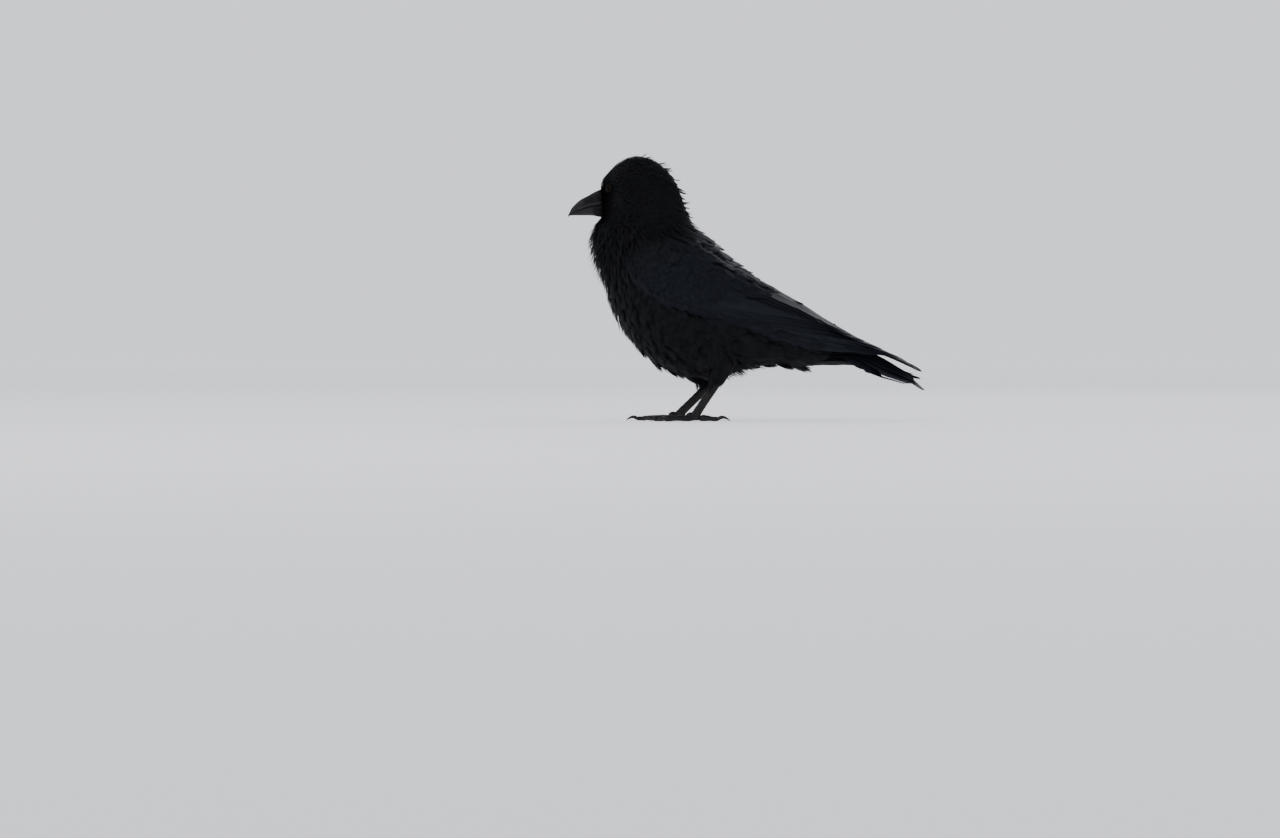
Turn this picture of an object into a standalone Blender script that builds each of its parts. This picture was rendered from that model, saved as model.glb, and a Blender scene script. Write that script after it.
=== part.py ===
"""Carrion crow, a still life-size model standing on its own toes, its head turned to its right.

The bird faces -X, its left side is towards -Y and +Z is up. The origin is on the floor, below the
middle of its overall box. The body is one lofted form, crown to tail tip, parted by thin cuts into
head, neck, trunk and tail. The folded wings are shells that follow the same form a little further out.
Sizes are in millimetres until the last step, which makes them metres.
"""

import math

import bmesh
import bpy
import numpy as np
from mathutils import Matrix, Vector

MM = 0.001
GAP = 0.3

# One row for each named section of the body, crown to tail tip. A section lies in a plane across the
# body that holds the Y direction. Its columns, in millimetres:
#   front x, z    where the section meets the throat, breast and belly line
#   back x, z     where it meets the nape, back and tail line
#   half          half its width
#   rise          how far the folded wings stand over its back
#   wing half     half the width over the folded wings
SECTIONS = {
    "crown": (-111.8, 278.7, -111.8, 278.7, 0.0, 0.0, 0.0),
    "crown_rim": (-125.5, 275.5, -97.1, 275.5, 13.0, 0.0, 13.0),
    "forehead": (-138.4, 267.8, -84.5, 267.8, 20.0, 0.0, 20.0),
    "brow": (-150.2, 256.2, -74.6, 258.3, 25.0, 0.0, 25.0),
    "eye": (-153.4, 243.6, -66.0, 243.6, 28.0, 0.0, 28.0),
    "gape": (-152.6, 230.0, -61.8, 230.0, 31.0, 0.0, 31.0),
    "chin": (-150.2, 215.8, -57.4, 217.9, 34.0, 0.0, 34.0),
    "throat": (-158.4, 204.8, -53.4, 209.0, 39.0, 0.0, 39.5),
    "crop": (-161.6, 189.0, -47.4, 202.7, 45.0, 0.0, 46.5),
    "upper_breast": (-156.2, 167.0, -37.3, 193.2, 50.0, 0.8, 53.5),
    "breast": (-145.0, 137.6, -22.6, 179.6, 53.0, 1.2, 58.0),
    "lower_breast": (-131.8, 104.0, -5.8, 164.8, 54.0, 1.8, 60.0),
    "fore_belly": (-108.7, 73.5, 9.8, 153.8, 52.0, 2.6, 59.5),
    "belly": (-77.2, 52.0, 25.2, 139.8, 48.0, 4.3, 56.0),
    "hind_belly": (-43.6, 43.4, 39.9, 126.5, 40.0, 6.7, 50.0),
    "vent": (-10.0, 50.6, 56.7, 115.5, 33.5, 7.5, 43.0),
    "undertail": (25.7, 57.2, 74.5, 102.9, 28.0, 7.7, 36.0),
    "rump": (67.7, 58.2, 95.0, 89.2, 24.0, 8.7, 30.0),
    "tail_root": (99.2, 59.6, 115.0, 79.8, 21.0, 7.7, 25.0),
    "tail_quarter": (124.4, 54.2, 133.9, 72.4, 22.5, 6.6, 22.0),
    "tail_half": (148.6, 47.0, 155.9, 59.3, 24.5, 9.0, 19.0),
    "tail_late": (169.6, 39.8, 174.8, 48.8, 26.5, 8.9, 16.0),
    "tail_tip": (183.8, 33.9, 185.3, 42.3, 27.0, 9.3, 12.0),
}
NAMES = list(SECTIONS)
ROWS = np.array(list(SECTIONS.values()))


def at(name, share=0.0):
    """The loft's station number at a named section, or a share of the way on to the next one."""
    return NAMES.index(name) + share


HEAD_TURN = math.radians(24)
TURN_ENDS = at("upper_breast")
FACE_TAPER = 0.20
CUT = 0.045
HEAD_ENDS = at("chin", 0.4)
NECK_ENDS = at("crop", -0.1)
TRUNK_ENDS = at("rump", 0.4)

# Where each side's folded wing starts at the wrist, ends, and how far up and down the flank it reaches.
WRIST = at("throat", 0.85)
TERTIAL_END = at("rump", 0.1)
WING_EDGES = {  # section: (lower edge, upper edge), in degrees round from the belly line
    "throat": (78, 112),
    "crop": (70, 120),
    "upper_breast": (62, 132),
    "breast": (60, 141),
    "lower_breast": (74, 148),
    "fore_belly": (90, 156),
    "belly": (99, 163),
    "hind_belly": (103, 168),
    "vent": (97, 171),
    "undertail": (91, 172),
    "rump": (88, 172),
    "tail_root": (88, 171),
    "tail_quarter": (102, 169),
    "tail_half": (136, 168),
    "tail_late": (140, 167),
    "tail_tip": (142, 166),
}
EDGE_FROM = at("throat")
EDGES = np.array(list(WING_EDGES.values()), float)

# How far along the tips of the primaries reach, from the lowest feather of the folded wing to the
# uppermost, and how far the tail's tips reach, from the outer feather to the middle one.
PRIMARY_TIPS = [
    at("tail_quarter", 0.10),
    at("tail_quarter", 0.72),
    at("tail_late", 0.30),
    at("tail_tip", -0.20),
    at("tail_late", 0.58),
    at("tail_half", 0.80),
]
TAIL_TIPS = [
    at("tail_late", 0.84),
    at("tail_tip", 0.0),
    at("tail_late", 0.88),
    at("tail_late", 0.70),
    at("tail_late", 0.80),
    at("tail_late", 0.66),
]
RIGHT_WING_SHORTER = 0.35
BLADE = 0.16
WING_CLEARANCE = 1.0

# The bill, from where it leaves the face feathers to its tip, and its root sunk in the head.
BILL_LENGTH = 38.6
BILL_ROOT = 7.0
BILL_TOP = 242.6
BILL_MOUTH = 227.0
BILL_UNDER = 215.7
BILL_TIP = 217.4
BILL_HALF_WIDTH = 9.4

EYE_RADIUS = 6.0
EYE_BEHIND_FACE = 17.5
EYE_HEIGHT = 243.5
EYE_SHOWS = 1.6

# Each leg's joints: ankle, and the foot's joint above the toes.
ANKLE = {"left": (-18.0, -31.0, 55.0), "right": (-26.0, 31.0, 47.5)}
FOOT = {"left": (-50.0, -28.0, 6.8), "right": (-68.0, 28.0, 6.8)}
THIGH_TOP = {"left": (-40.0, -31.0, 78.0), "right": (-46.0, 31.0, 76.0)}
THIGH_RADII = (22.0, 7.6)
SHANK_DEPTH = 3.6
SHANK_WIDTH = 3.0

# Toes by their usual numbers: 1 points back, 2 is the inner, 3 the middle and 4 the outer one.
TOES = {  # number: (degrees from straight ahead towards the outer side, length, root radius, tip radius)
    1: (174.0, 21.0, 3.6, 2.6),
    2: (-27.0, 29.0, 3.2, 2.4),
    3: (1.0, 39.0, 3.4, 2.4),
    4: (29.0, 32.0, 3.2, 2.3),
}
CLAW_LENGTH = {1: 15.0, 2: 12.0, 3: 13.0, 4: 11.5}
TOE_PADS = {1: 2, 2: 3, 3: 4, 4: 5}

# Rows and columns of the meshes.
ROWS_A_SECTION = 2
HEAD_COLUMNS = 28
BODY_COLUMNS = 32
TAIL_COLUMNS = 44
TAIL_ROWS = 9
WING_MESH = (9, 18)
PRIMARIES_MESH = (16, 9)

PLUMAGE = ("plumage", (0.010, 0.010, 0.013), 0.45)
FLIGHT = ("flight_feathers", (0.012, 0.012, 0.017), 0.35)
HORN = ("horn", (0.015, 0.015, 0.016), 0.35)
SCALED_SKIN = ("scaled_skin", (0.018, 0.017, 0.017), 0.55)
EYEBALL = ("eyeball", (0.012, 0.007, 0.004), 0.05)


# ---------------------------------------------------------------- curves and meshes


def smooth(rows, station):
    """The rows' values at a station, on a curve that runs smoothly through every row (Catmull-Rom)."""
    station = min(max(station, 0.0), len(rows) - 1.0)
    i = min(int(station), len(rows) - 2)
    t = station - i
    before = rows[i - 1] if i > 0 else 2 * rows[0] - rows[1]
    after = rows[i + 2] if i + 2 < len(rows) else 2 * rows[-1] - rows[-2]
    a, b = rows[i], rows[i + 1]
    return 0.5 * (
        2 * a
        + (b - before) * t
        + (2 * before - 5 * a + 4 * b - after) * t**2
        + (3 * a - before - 3 * b + after) * t**3
    )


def ease(value):
    value = min(max(value, 0.0), 1.0)
    return value * value * (3 - 2 * value)


def material(kind):
    name, colour, roughness = kind
    found = bpy.data.materials.get(name)
    if found:
        return found
    made = bpy.data.materials.new(name)
    made.use_nodes = True
    shader = made.node_tree.nodes["Principled BSDF"]
    shader.inputs["Base Color"].default_value = (*colour, 1.0)
    shader.inputs["Roughness"].default_value = roughness
    return made


def mesh_object(name, points, faces, kind):
    """A mesh object of points in millimetres, with its origin at their middle and its faces out."""
    points = np.array([tuple(p) for p in points]) * MM
    middle = (points.min(axis=0) + points.max(axis=0)) / 2
    mesh = bpy.data.meshes.new(name)
    mesh.from_pydata((points - middle).tolist(), [], faces)
    solid = bmesh.new()
    solid.from_mesh(mesh)
    bmesh.ops.recalc_face_normals(solid, faces=solid.faces[:])
    solid.to_mesh(mesh)
    solid.free()
    mesh.shade_smooth()
    mesh.set_sharp_from_angle(angle=math.radians(50))
    mesh.materials.append(material(kind))
    made = bpy.data.objects.new(name, mesh)
    made.location = middle
    bpy.context.scene.collection.objects.link(made)
    return made


def strip_cap(start, count, flip):
    """Faces that close a ring of points whose first point is at its front and whose halves mirror."""
    faces = []
    for j in range(count // 2):
        a, b = start + j, start + (j + 1) % count
        c, d = start + (count - j - 1) % count, start + (count - j) % count
        corners = list(dict.fromkeys([a, b, c, d]))
        if len(corners) > 2:
            faces.append(corners[::-1] if flip else corners)
    return faces


def loft(name, rings, kind, bent_ends=False):
    """A closed solid through rings of equal length, whose end rings are flat unless they're bent."""
    count = len(rings[0])
    points = [p for ring in rings for p in ring]
    last = (len(rings) - 1) * count
    faces = []
    if bent_ends:
        faces = strip_cap(0, count, True) + strip_cap(last, count, False)
    else:
        faces = [tuple(range(count))[::-1], tuple(range(last, last + count))]
    for i in range(len(rings) - 1):
        for j in range(count):
            a, b = i * count + j, i * count + (j + 1) % count
            faces.append((a, b, b + count, a + count))
    return mesh_object(name, points, faces, kind)


def ring_angles(count):
    return [2 * math.pi * j / count for j in range(count)]


def cut_away(target, cutters):
    """Takes the cutters' shapes out of the target, and hides the cutters."""
    for cutter in cutters:
        cut = target.modifiers.new("cut_" + cutter.name, "BOOLEAN")
        cut.operation = "DIFFERENCE"
        cut.solver = "EXACT"
        cut.object = cutter
        cutter.hide_render = True
        cutter.display_type = "WIRE"


# ---------------------------------------------------------------- the body's form


def head_turned(point, centre, station):
    """Turns a point of the head and neck about the upright line through its section's middle."""
    share = 1 - ease((station - at("gape")) / (TURN_ENDS - at("gape")))
    x, y = point[0] - centre[0], point[1]
    c, s = math.cos(HEAD_TURN * share), math.sin(HEAD_TURN * share)
    return (centre[0] + x * c + y * s, -x * s + y * c, point[2])


def body_point(station, angle, swell=0.0, grow=0.0):
    """A point of the body's form, at an angle round from the belly line, or at swell 1 of the folded wings'."""
    fx, fz, bx, bz, half, rise, wing_half = smooth(ROWS, station)
    length = math.hypot(bx - fx, bz - fz)
    up = ((bx - fx) / length, (bz - fz) / length) if length > 1e-6 else (1.0, 0.0)
    bx, bz = bx + up[0] * rise * swell, bz + up[1] * rise * swell
    centre = ((fx + bx) / 2, (fz + bz) / 2)
    reach = math.hypot(bx - fx, bz - fz) / 2 + grow
    width = half + (wing_half - half) * swell + grow
    along = -math.cos(angle) * reach
    taper = FACE_TAPER * (1 - ease((station - at("gape")) / 3.0))
    across = math.sin(angle) * (1 - taper * math.cos(angle))
    point = (centre[0] + up[0] * along, across * width, centre[1] + up[1] * along)
    if station < TURN_ENDS:
        point = head_turned(point, centre, station)
    return point


def body_ring(station, count, grow=0.0):
    return [body_point(station, a, grow=grow) for a in ring_angles(count)]


def stations(first, last):
    """Evenly spaced stations from first to last, about ROWS_A_SECTION to a section."""
    count = max(2, round((last - first) * ROWS_A_SECTION) + 1)
    return [first + (last - first) * i / (count - 1) for i in range(count)]


def body_length(name, first, last, count, kind, grow=0.0):
    return loft(name, [body_ring(s, count, grow) for s in stations(first, last)], kind)


def tail_share(angle):
    """0 at the middle line of the tail, seen from above, and 1 at its outer edge."""
    return abs(math.sin(angle))


def stepped_tip(tips, share):
    """How far the feather at this share of the way across reaches, with a round end to each feather."""
    place = min(max(share, 0.0), 0.9999) * len(tips)
    i = int(place)
    rounding = 0.16 * (2 * (place - i) - 1) ** 2
    return tips[i] - rounding


def make_tail():
    first = TRUNK_ENDS + CUT
    angles = ring_angles(TAIL_COLUMNS)
    ends = [stepped_tip(TAIL_TIPS, 1 - tail_share(a)) for a in angles]
    rings = []
    for i in range(TAIL_ROWS):
        share = i / (TAIL_ROWS - 1)
        ring = [body_point(first + (end - first) * share, a) for a, end in zip(angles, ends)]
        rings.append(arched(ring, share))
    return loft("tail", rings, FLIGHT, bent_ends=True)


def arched(ring, share):
    """A tail section, from the body's round at share 0 to an arched blade of feathers past halfway."""
    flat = ease(share / 0.55)
    low, high = min(p[2] for p in ring), max(p[2] for p in ring)
    half = max(abs(p[1]) for p in ring)
    heights = []
    for x, y, z in ring:
        bow = (high - low) * (1 - BLADE) * (1 - (y / half) ** 2)
        heights.append(z + (low + bow + (z - low) * BLADE - z) * flat)
    scale = (high - low) / (high - min(heights))
    return [(x, y, high - (high - height) * scale) for (x, y, z), height in zip(ring, heights)]


# ---------------------------------------------------------------- wings


def wing_edge(station, share):
    """The angle round the body at a share of the way from the wing's lower edge to its upper one."""
    low, high = smooth(EDGES, station - EDGE_FROM)
    return math.radians(low + (high - low) * share)


def wing_skin(station):
    """The inner face's swell: just over the body, and further out towards the tip, where it is thin."""
    return 0.13 + 0.58 * ease((station - at("undertail")) / 4.0)


def wing_shell(name, side, mesh_size, start, end, kind):
    """A closed shell that follows the body, where start(share) and end(share) are the stations at
    which each lengthwise line begins and ends."""
    columns, rows = mesh_size
    outer, inner = [], []
    for i in range(rows):
        for j in range(columns):
            share = j / (columns - 1)
            first, last = start(share), end(share)
            station = first + (last - first) * i / (rows - 1)
            angle = wing_edge(station, share)
            for points, swell in ((outer, 1.0), (inner, wing_skin(station))):
                x, y, z = body_point(station, angle, swell=swell, grow=WING_CLEARANCE)
                points.append((x, -y * side, z))
    size = rows * columns
    faces = []
    for i in range(rows - 1):
        for j in range(columns - 1):
            a = i * columns + j
            faces.append((a, a + 1, a + columns + 1, a + columns))
            faces.append((size + a, size + a + columns, size + a + columns + 1, size + a + 1))
    rim = [j for j in range(columns)]
    rim += [i * columns + columns - 1 for i in range(1, rows)]
    rim += [(rows - 1) * columns + j for j in range(columns - 2, -1, -1)]
    rim += [i * columns for i in range(rows - 2, 0, -1)]
    for a, b in zip(rim, rim[1:] + rim[:1]):
        faces.append((a, b, size + b, size + a))
    return mesh_object(name, outer + inner, faces, kind)


def make_wing(side, sign, shorter):
    def wrist(share):
        return WRIST + 1.3 * abs(2 * share - 0.95) ** 2.4

    def folded_end(share):
        return TERTIAL_END

    def primaries_start(share):
        return TERTIAL_END + CUT

    def primaries_end(share):
        return stepped_tip([tip - shorter for tip in PRIMARY_TIPS], share)

    wing_shell(f"wing_{side}", sign, WING_MESH, wrist, folded_end, PLUMAGE)
    wing_shell(f"primaries_{side}", sign, PRIMARIES_MESH, primaries_start, primaries_end, FLIGHT)


# ---------------------------------------------------------------- bill and eyes


def face_frame():
    """The turned head's own frame: origin at the middle of the eye section, +X out along the bill."""
    fx, fz, bx, bz = ROWS[NAMES.index("eye")][:4]
    return Matrix.Translation(((fx + bx) / 2, 0.0, 0.0)) @ Matrix.Rotation(
        math.pi - HEAD_TURN, 4, "Z"
    )


FACE_REACH = (SECTIONS["eye"][2] - SECTIONS["eye"][0]) / 2


def bill_share(along):
    return min(max(along / BILL_LENGTH, 0.0), 1.0)


def culmen(along):
    t = bill_share(along)
    drop = 0.5 * t + 0.5 * t**2.6
    return BILL_TOP - (BILL_TOP - BILL_TIP) * drop + max(0.0, -along) * 0.3


def mouth(along):
    t = bill_share(along)
    return BILL_MOUTH - (BILL_MOUTH - BILL_TIP + 1.2) * t**1.5


def gonys(along):
    t = bill_share(along)
    return BILL_UNDER + 0.9 * math.sin(math.pi * min(t, 1.0)) + 2.2 * t**6


def bill_width(along):
    t = bill_share(along)
    return BILL_HALF_WIDTH * (1 - t**1.25) ** 0.9 + 0.7 - 0.25 * t


def half_bill(name, frame, upper):
    """The upper or the lower half of the bill, a half round section lofted along it."""
    last = BILL_LENGTH if upper else BILL_LENGTH - 3.0
    rings = []
    for i in range(10):
        along = -BILL_ROOT + (last + BILL_ROOT) * (i / 9) ** 0.85
        flat = mouth(along) + (GAP / 2 if upper else -GAP / 2)
        edge = culmen(along) if upper else gonys(along)
        depth = max(abs(edge - flat), 0.6)
        width = bill_width(along) * (1.0 if upper else 0.93)
        rings.append(
            [
                frame
                @ Vector(
                    (
                        FACE_REACH + along,
                        math.cos(a) * width,
                        flat + (1 if upper else -1) * max(math.sin(a), 0.0) ** 0.88 * depth,
                    )
                )
                for a in [math.pi / 2 + math.pi * 2 * j / 16 for j in range(16)]
            ]
        )
    return loft(name, [bill_section(ring) for ring in rings], HORN)


def bill_section(ring):
    """Spreads the lower half of a ring's points evenly along its flat side."""
    count = len(ring)
    left, right = ring[count // 4], ring[3 * count // 4]
    for j in range(count // 4 + 1, 3 * count // 4):
        share = (j - count // 4) / (count // 2)
        ring[j] = left.lerp(right, share)
    return ring


def bill_socket(frame):
    """The hollow in the head that takes the roots of both halves of the bill, with a gap all round."""
    rings = []
    for i in range(4):
        along = -BILL_ROOT - GAP + (BILL_ROOT + 12.0) * i / 3
        width = bill_width(along) + GAP
        ring = []
        for a in ring_angles(16):
            rise, edge = math.sin(a), culmen(along) if math.sin(a) > 0 else gonys(along)
            height = (abs(edge - mouth(along)) + 2 * GAP) * abs(rise) ** 0.88
            height = mouth(along) + math.copysign(height, rise)
            ring.append(frame @ Vector((FACE_REACH + along, math.cos(a) * width, height)))
        rings.append(ring)
    return loft("socket_bill", rings, HORN)


def ball(name, centre, radius, kind, rows=7, count=12):
    rings = []
    for i in range(rows + 1):
        polar = math.pi * (0.04 + 0.92 * i / rows)
        rings.append(
            [
                (
                    centre[0] + radius * math.sin(polar) * math.cos(a),
                    centre[1] + radius * math.cos(polar),
                    centre[2] + radius * math.sin(polar) * math.sin(a),
                )
                for a in ring_angles(count)
            ]
        )
    return loft(name, rings, kind)


def eye_centre(sign):
    """The middle of an eyeball, set so that EYE_SHOWS of it stands out of the face."""
    station = at("eye")
    angle = math.acos((FACE_REACH - EYE_BEHIND_FACE) / FACE_REACH)
    x, y, z = body_point(station, sign * angle)
    fx, fz, bx, bz = ROWS[NAMES.index("eye")][:4]
    middle = Vector(((fx + bx) / 2, 0.0, z))
    out = (Vector((x, y, z)) - middle).normalized()
    side = Vector((math.sin(HEAD_TURN) * sign, math.cos(HEAD_TURN) * sign, 0.0))
    away = (out * 0.35 + side * 0.9).normalized()
    return Vector((x, y, EYE_HEIGHT)) - away * (EYE_RADIUS - EYE_SHOWS)


def make_head():
    frame = face_frame()
    head = body_length("head", 0.06, HEAD_ENDS - CUT, HEAD_COLUMNS, PLUMAGE)
    half_bill("bill_upper", frame, True)
    half_bill("bill_lower", frame, False)
    cutters = [bill_socket(frame)]
    for side, sign in (("left", -1), ("right", 1)):
        centre = eye_centre(sign)
        ball("eye_" + side, centre, EYE_RADIUS, EYEBALL)
        cutters.append(ball("socket_" + side, centre, EYE_RADIUS + GAP, EYEBALL))
    cut_away(head, cutters)


# ---------------------------------------------------------------- legs and feet


def tube(name, path, radii, kind, count=10, ground=False, ends_face=None):
    """A lofted tube along path. radii holds (fore-and-aft, sideways) pairs, ground flattens it at 0, and
    ends_face is the direction its end caps face."""
    path = [Vector(p) for p in path]
    rings = []
    for i, point in enumerate(path):
        ahead = path[min(i + 1, len(path) - 1)] - path[max(i - 1, 0)]
        if ends_face and i in (0, len(path) - 1):
            ahead = ends_face.copy()
        ahead.normalize()
        side = ahead.cross(Vector((0, 0, 1)))
        if side.length < 0.2:
            side = Vector((0, 1, 0))
        side.normalize()
        lift = side.cross(ahead)
        tall, wide = radii[i]
        half_step = math.pi / count
        ring = [
            point + lift * math.cos(a + half_step) * tall + side * math.sin(a + half_step) * wide
            for a in ring_angles(count)
        ]
        if ground:
            ring = [Vector((p.x, p.y, max(p.z, 0.0))) for p in ring]
        rings.append(ring)
    return loft(name, rings, kind)


def shank(name, ankle, foot, grow=0.0):
    """The bare lower leg, a little thicker at the ankle and where the toes join, with a pad below."""
    ankle, foot = Vector(ankle), Vector(foot)
    path, radii = [], []
    steps = 6
    for i in range(steps + 1):
        t = i / steps
        bulge = 1 + 0.28 * (1 - t) ** 4 + 0.30 * t**5
        path.append(ankle.lerp(foot, t))
        radii.append((SHANK_DEPTH * bulge + grow, (SHANK_WIDTH + 1.3 * t**6) * bulge + grow))
    path.append(Vector((foot.x - 1.4, foot.y, 2.6)))
    radii.append((5.3 + grow, 5.3 + grow))
    path.append(Vector((foot.x - 1.6, foot.y, -grow)))
    radii.append((4.6 + grow, 4.6 + grow))
    return tube(name, path, radii, SCALED_SKIN, count=10, ground=not grow)


def toe_path(side, number):
    """The toe's middle line as points, its radii, and its direction along the floor."""
    sign = -1 if side == "left" else 1
    turn, length, root, tip = TOES[number]
    heading = math.radians(turn) * sign
    forward = Vector((-math.cos(heading), math.sin(heading), 0.0))
    foot = Vector(FOOT[side])
    path, radii = [], []
    steps = 7
    for i in range(steps + 1):
        t = i / steps
        pads = 1 + 0.09 * math.cos(2 * math.pi * TOE_PADS[number] * t)
        radius = (root + (tip - root) * t) * pads
        arch = 0.9 * math.sin(math.pi * t) ** 2 if number != 1 else 0.5 * math.sin(math.pi * t)
        path.append(Vector((foot.x - 1.5, foot.y, radius * 0.86 + arch)) + forward * (2.6 + length * t))
        radii.append((radius, radius * 1.02))
    return path, radii, forward


def make_toe(side, number, grow=0.0, name=None):
    path, radii, forward = toe_path(side, number)
    if grow:
        path[-1] = path[-1] + forward * grow
        radii = [(r + grow, w + grow) for r, w in radii]
    name = name or f"toe_{side}_{number}"
    return tube(name, path, radii, SCALED_SKIN, count=8, ground=not grow, ends_face=forward)


def make_claw(side, number):
    """A curved claw from the toe's end down to the floor."""
    path, radii, forward = toe_path(side, number)
    start = path[-1] + forward * GAP
    length = CLAW_LENGTH[number]
    root = radii[-1][0] * 0.86
    points, sizes = [], []
    steps = 5
    for i in range(steps + 1):
        t = i / steps
        radius = root * (1 - t) ** 0.8 + 0.35
        height = start.z * (1 - t) + 0.34 * t + 0.23 * length * math.sin(math.pi * t) * (1 - 0.3 * t)
        points.append(Vector((start.x, start.y, height)) + forward * (length * 0.92 * t))
        sizes.append((radius, radius * 0.8))
    return tube(
        f"claw_{side}_{number}", points, sizes, HORN, count=6, ground=True, ends_face=forward
    )


def make_thigh(side, trunk_cutter):
    """The feathered upper leg, from inside the belly to the ankle."""
    top, ankle = Vector(THIGH_TOP[side]), Vector(ANKLE[side])
    foot = Vector(FOOT[side])
    down = (foot - ankle).normalized()
    end = ankle - down * GAP
    path, radii = [], []
    steps = 7
    for i in range(steps + 1):
        t = i / steps
        radius = THIGH_RADII[0] + (THIGH_RADII[1] - THIGH_RADII[0]) * ease(t * 0.94 + 0.03)
        path.append(top.lerp(end, t))
        radii.append((radius, radius * 0.86))
    thigh = tube(f"thigh_{side}", path, radii, PLUMAGE, count=14)
    shank_cutter = shank(f"socket_shank_{side}", ankle, foot, grow=GAP)
    cut_away(thigh, [trunk_cutter, shank_cutter])


def make_leg(side, trunk_cutter):
    make_thigh(side, trunk_cutter)
    cut_away(shank(f"shank_{side}", ANKLE[side], FOOT[side]), [trunk_cutter])
    shank_cutter = shank(f"socket_foot_{side}", ANKLE[side], FOOT[side], grow=GAP)
    middle_cutter = make_toe(side, 3, grow=GAP, name=f"socket_toe_{side}_3")
    for number in TOES:
        toe = make_toe(side, number)
        cutters = [shank_cutter]
        if number in (2, 4):
            cutters.append(middle_cutter)
        cut_away(toe, cutters)
        make_claw(side, number)


# ---------------------------------------------------------------- the whole bird


def main():
    for old in list(bpy.data.objects):
        bpy.data.objects.remove(old, do_unlink=True)
    make_head()
    body_length("neck", HEAD_ENDS, NECK_ENDS, HEAD_COLUMNS, PLUMAGE)
    body_length("trunk", NECK_ENDS + CUT, TRUNK_ENDS, BODY_COLUMNS, PLUMAGE)
    trunk_cutter = body_length(
        "socket_trunk", NECK_ENDS, TRUNK_ENDS + CUT, BODY_COLUMNS, PLUMAGE, grow=GAP
    )
    make_tail()
    for side, sign, shorter in (("left", 1, 0.0), ("right", -1, RIGHT_WING_SHORTER)):
        make_wing(side, sign, shorter)
        make_leg(side, trunk_cutter)
    bird = bpy.data.objects.new("carrion_crow", None)
    bpy.context.scene.collection.objects.link(bird)
    for piece in bpy.data.objects:
        if piece.type == "MESH":
            piece.parent = bird


main()
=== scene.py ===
"""The looks of a carrion crow: skin, plumage, flight feathers, bill, eyes, legs and claws.

Lengths are metres, as in the CAD frame, and sizes are given as a number times MM. Feathers are meshes:
contour feathers are vanes of barb bundles scattered over the body in the direction the plumage lies,
and the quills of wing and tail are placed one by one.
"""

import math

import bpy
import numpy as np
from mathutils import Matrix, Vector
from mathutils.bvhtree import BVHTree
from mathutils.kdtree import KDTree


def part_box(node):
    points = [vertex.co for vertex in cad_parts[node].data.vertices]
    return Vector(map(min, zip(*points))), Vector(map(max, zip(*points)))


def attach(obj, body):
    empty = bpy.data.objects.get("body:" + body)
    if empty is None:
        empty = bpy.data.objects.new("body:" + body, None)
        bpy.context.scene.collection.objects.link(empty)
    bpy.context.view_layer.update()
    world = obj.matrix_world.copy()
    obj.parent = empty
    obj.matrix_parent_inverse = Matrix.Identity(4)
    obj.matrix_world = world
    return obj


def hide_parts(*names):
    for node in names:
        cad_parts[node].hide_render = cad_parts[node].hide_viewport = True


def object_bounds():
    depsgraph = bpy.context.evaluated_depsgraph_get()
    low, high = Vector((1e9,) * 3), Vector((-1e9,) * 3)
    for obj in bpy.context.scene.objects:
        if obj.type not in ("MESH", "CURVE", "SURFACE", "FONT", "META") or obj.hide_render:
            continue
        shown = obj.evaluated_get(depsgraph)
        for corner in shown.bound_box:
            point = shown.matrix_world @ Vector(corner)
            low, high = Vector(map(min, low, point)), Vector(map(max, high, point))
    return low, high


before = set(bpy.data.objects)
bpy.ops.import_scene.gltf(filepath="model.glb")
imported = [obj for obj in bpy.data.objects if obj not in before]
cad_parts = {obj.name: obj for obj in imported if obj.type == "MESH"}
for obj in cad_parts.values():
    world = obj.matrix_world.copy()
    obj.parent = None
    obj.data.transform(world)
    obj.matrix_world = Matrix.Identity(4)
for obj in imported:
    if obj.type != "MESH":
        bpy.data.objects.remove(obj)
CAD_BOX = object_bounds()

MM = 0.001
SIDES = {"left": -1.0, "right": 1.0}
ACROSS = np.array([0.0, 1.0, 0.0])
UP = np.array([0.0, 0.0, 1.0])
RNG = np.random.default_rng(7)

BODY_NODES = ["head", "neck", "trunk", "thigh_left", "thigh_right", "wing_left", "wing_right"]


# ---------------------------------------------------------------- small helpers


def unit(v):
    return v / np.maximum(np.linalg.norm(v, axis=-1, keepdims=True), 1e-12)


def ease(t):
    t = np.clip(t, 0.0, 1.0)
    return t * t * (3 - 2 * t)


def ramp(value, low, high):
    """0 below low, 1 above high, smooth between."""
    return ease((np.asarray(value, float) - low) / (high - low))


def bump(value, middle, half_width):
    """1 at the middle, falling smoothly to 0 at half_width away."""
    return ease(1 - np.abs(np.asarray(value, float) - middle) / half_width)


def smoothed(rows, passes=1):
    """Rows averaged in place with their neighbours, passes times over. The two end rows stay."""
    for _ in range(passes):
        rows[1:-1] = (rows[:-2] + 2 * rows[1:-1] + rows[2:]) / 4
    return rows


def square_to(v, way):
    """The vectors v made square to the unit vectors way."""
    return unit(v - way * (v * way).sum(axis=-1, keepdims=True))


def triples(x, y, z):
    """Points or directions from their three parts, each of which is a number or an array."""
    return np.stack(np.broadcast_arrays(x, y, z), axis=-1).astype(float)


def circle(number):
    """Angles spread evenly round a full turn."""
    return np.linspace(0, 2 * math.pi, number + 1)[:-1]


def middle_of(box):
    return np.array((box[0] + box[1]) / 2)


def node_mesh(name):
    """A CAD node's vertices and triangles."""
    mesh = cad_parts[name].data
    mesh.calc_loop_triangles()
    points = np.array([v.co for v in mesh.vertices])
    triangles = np.array([t.vertices for t in mesh.loop_triangles])
    return points, triangles


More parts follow.
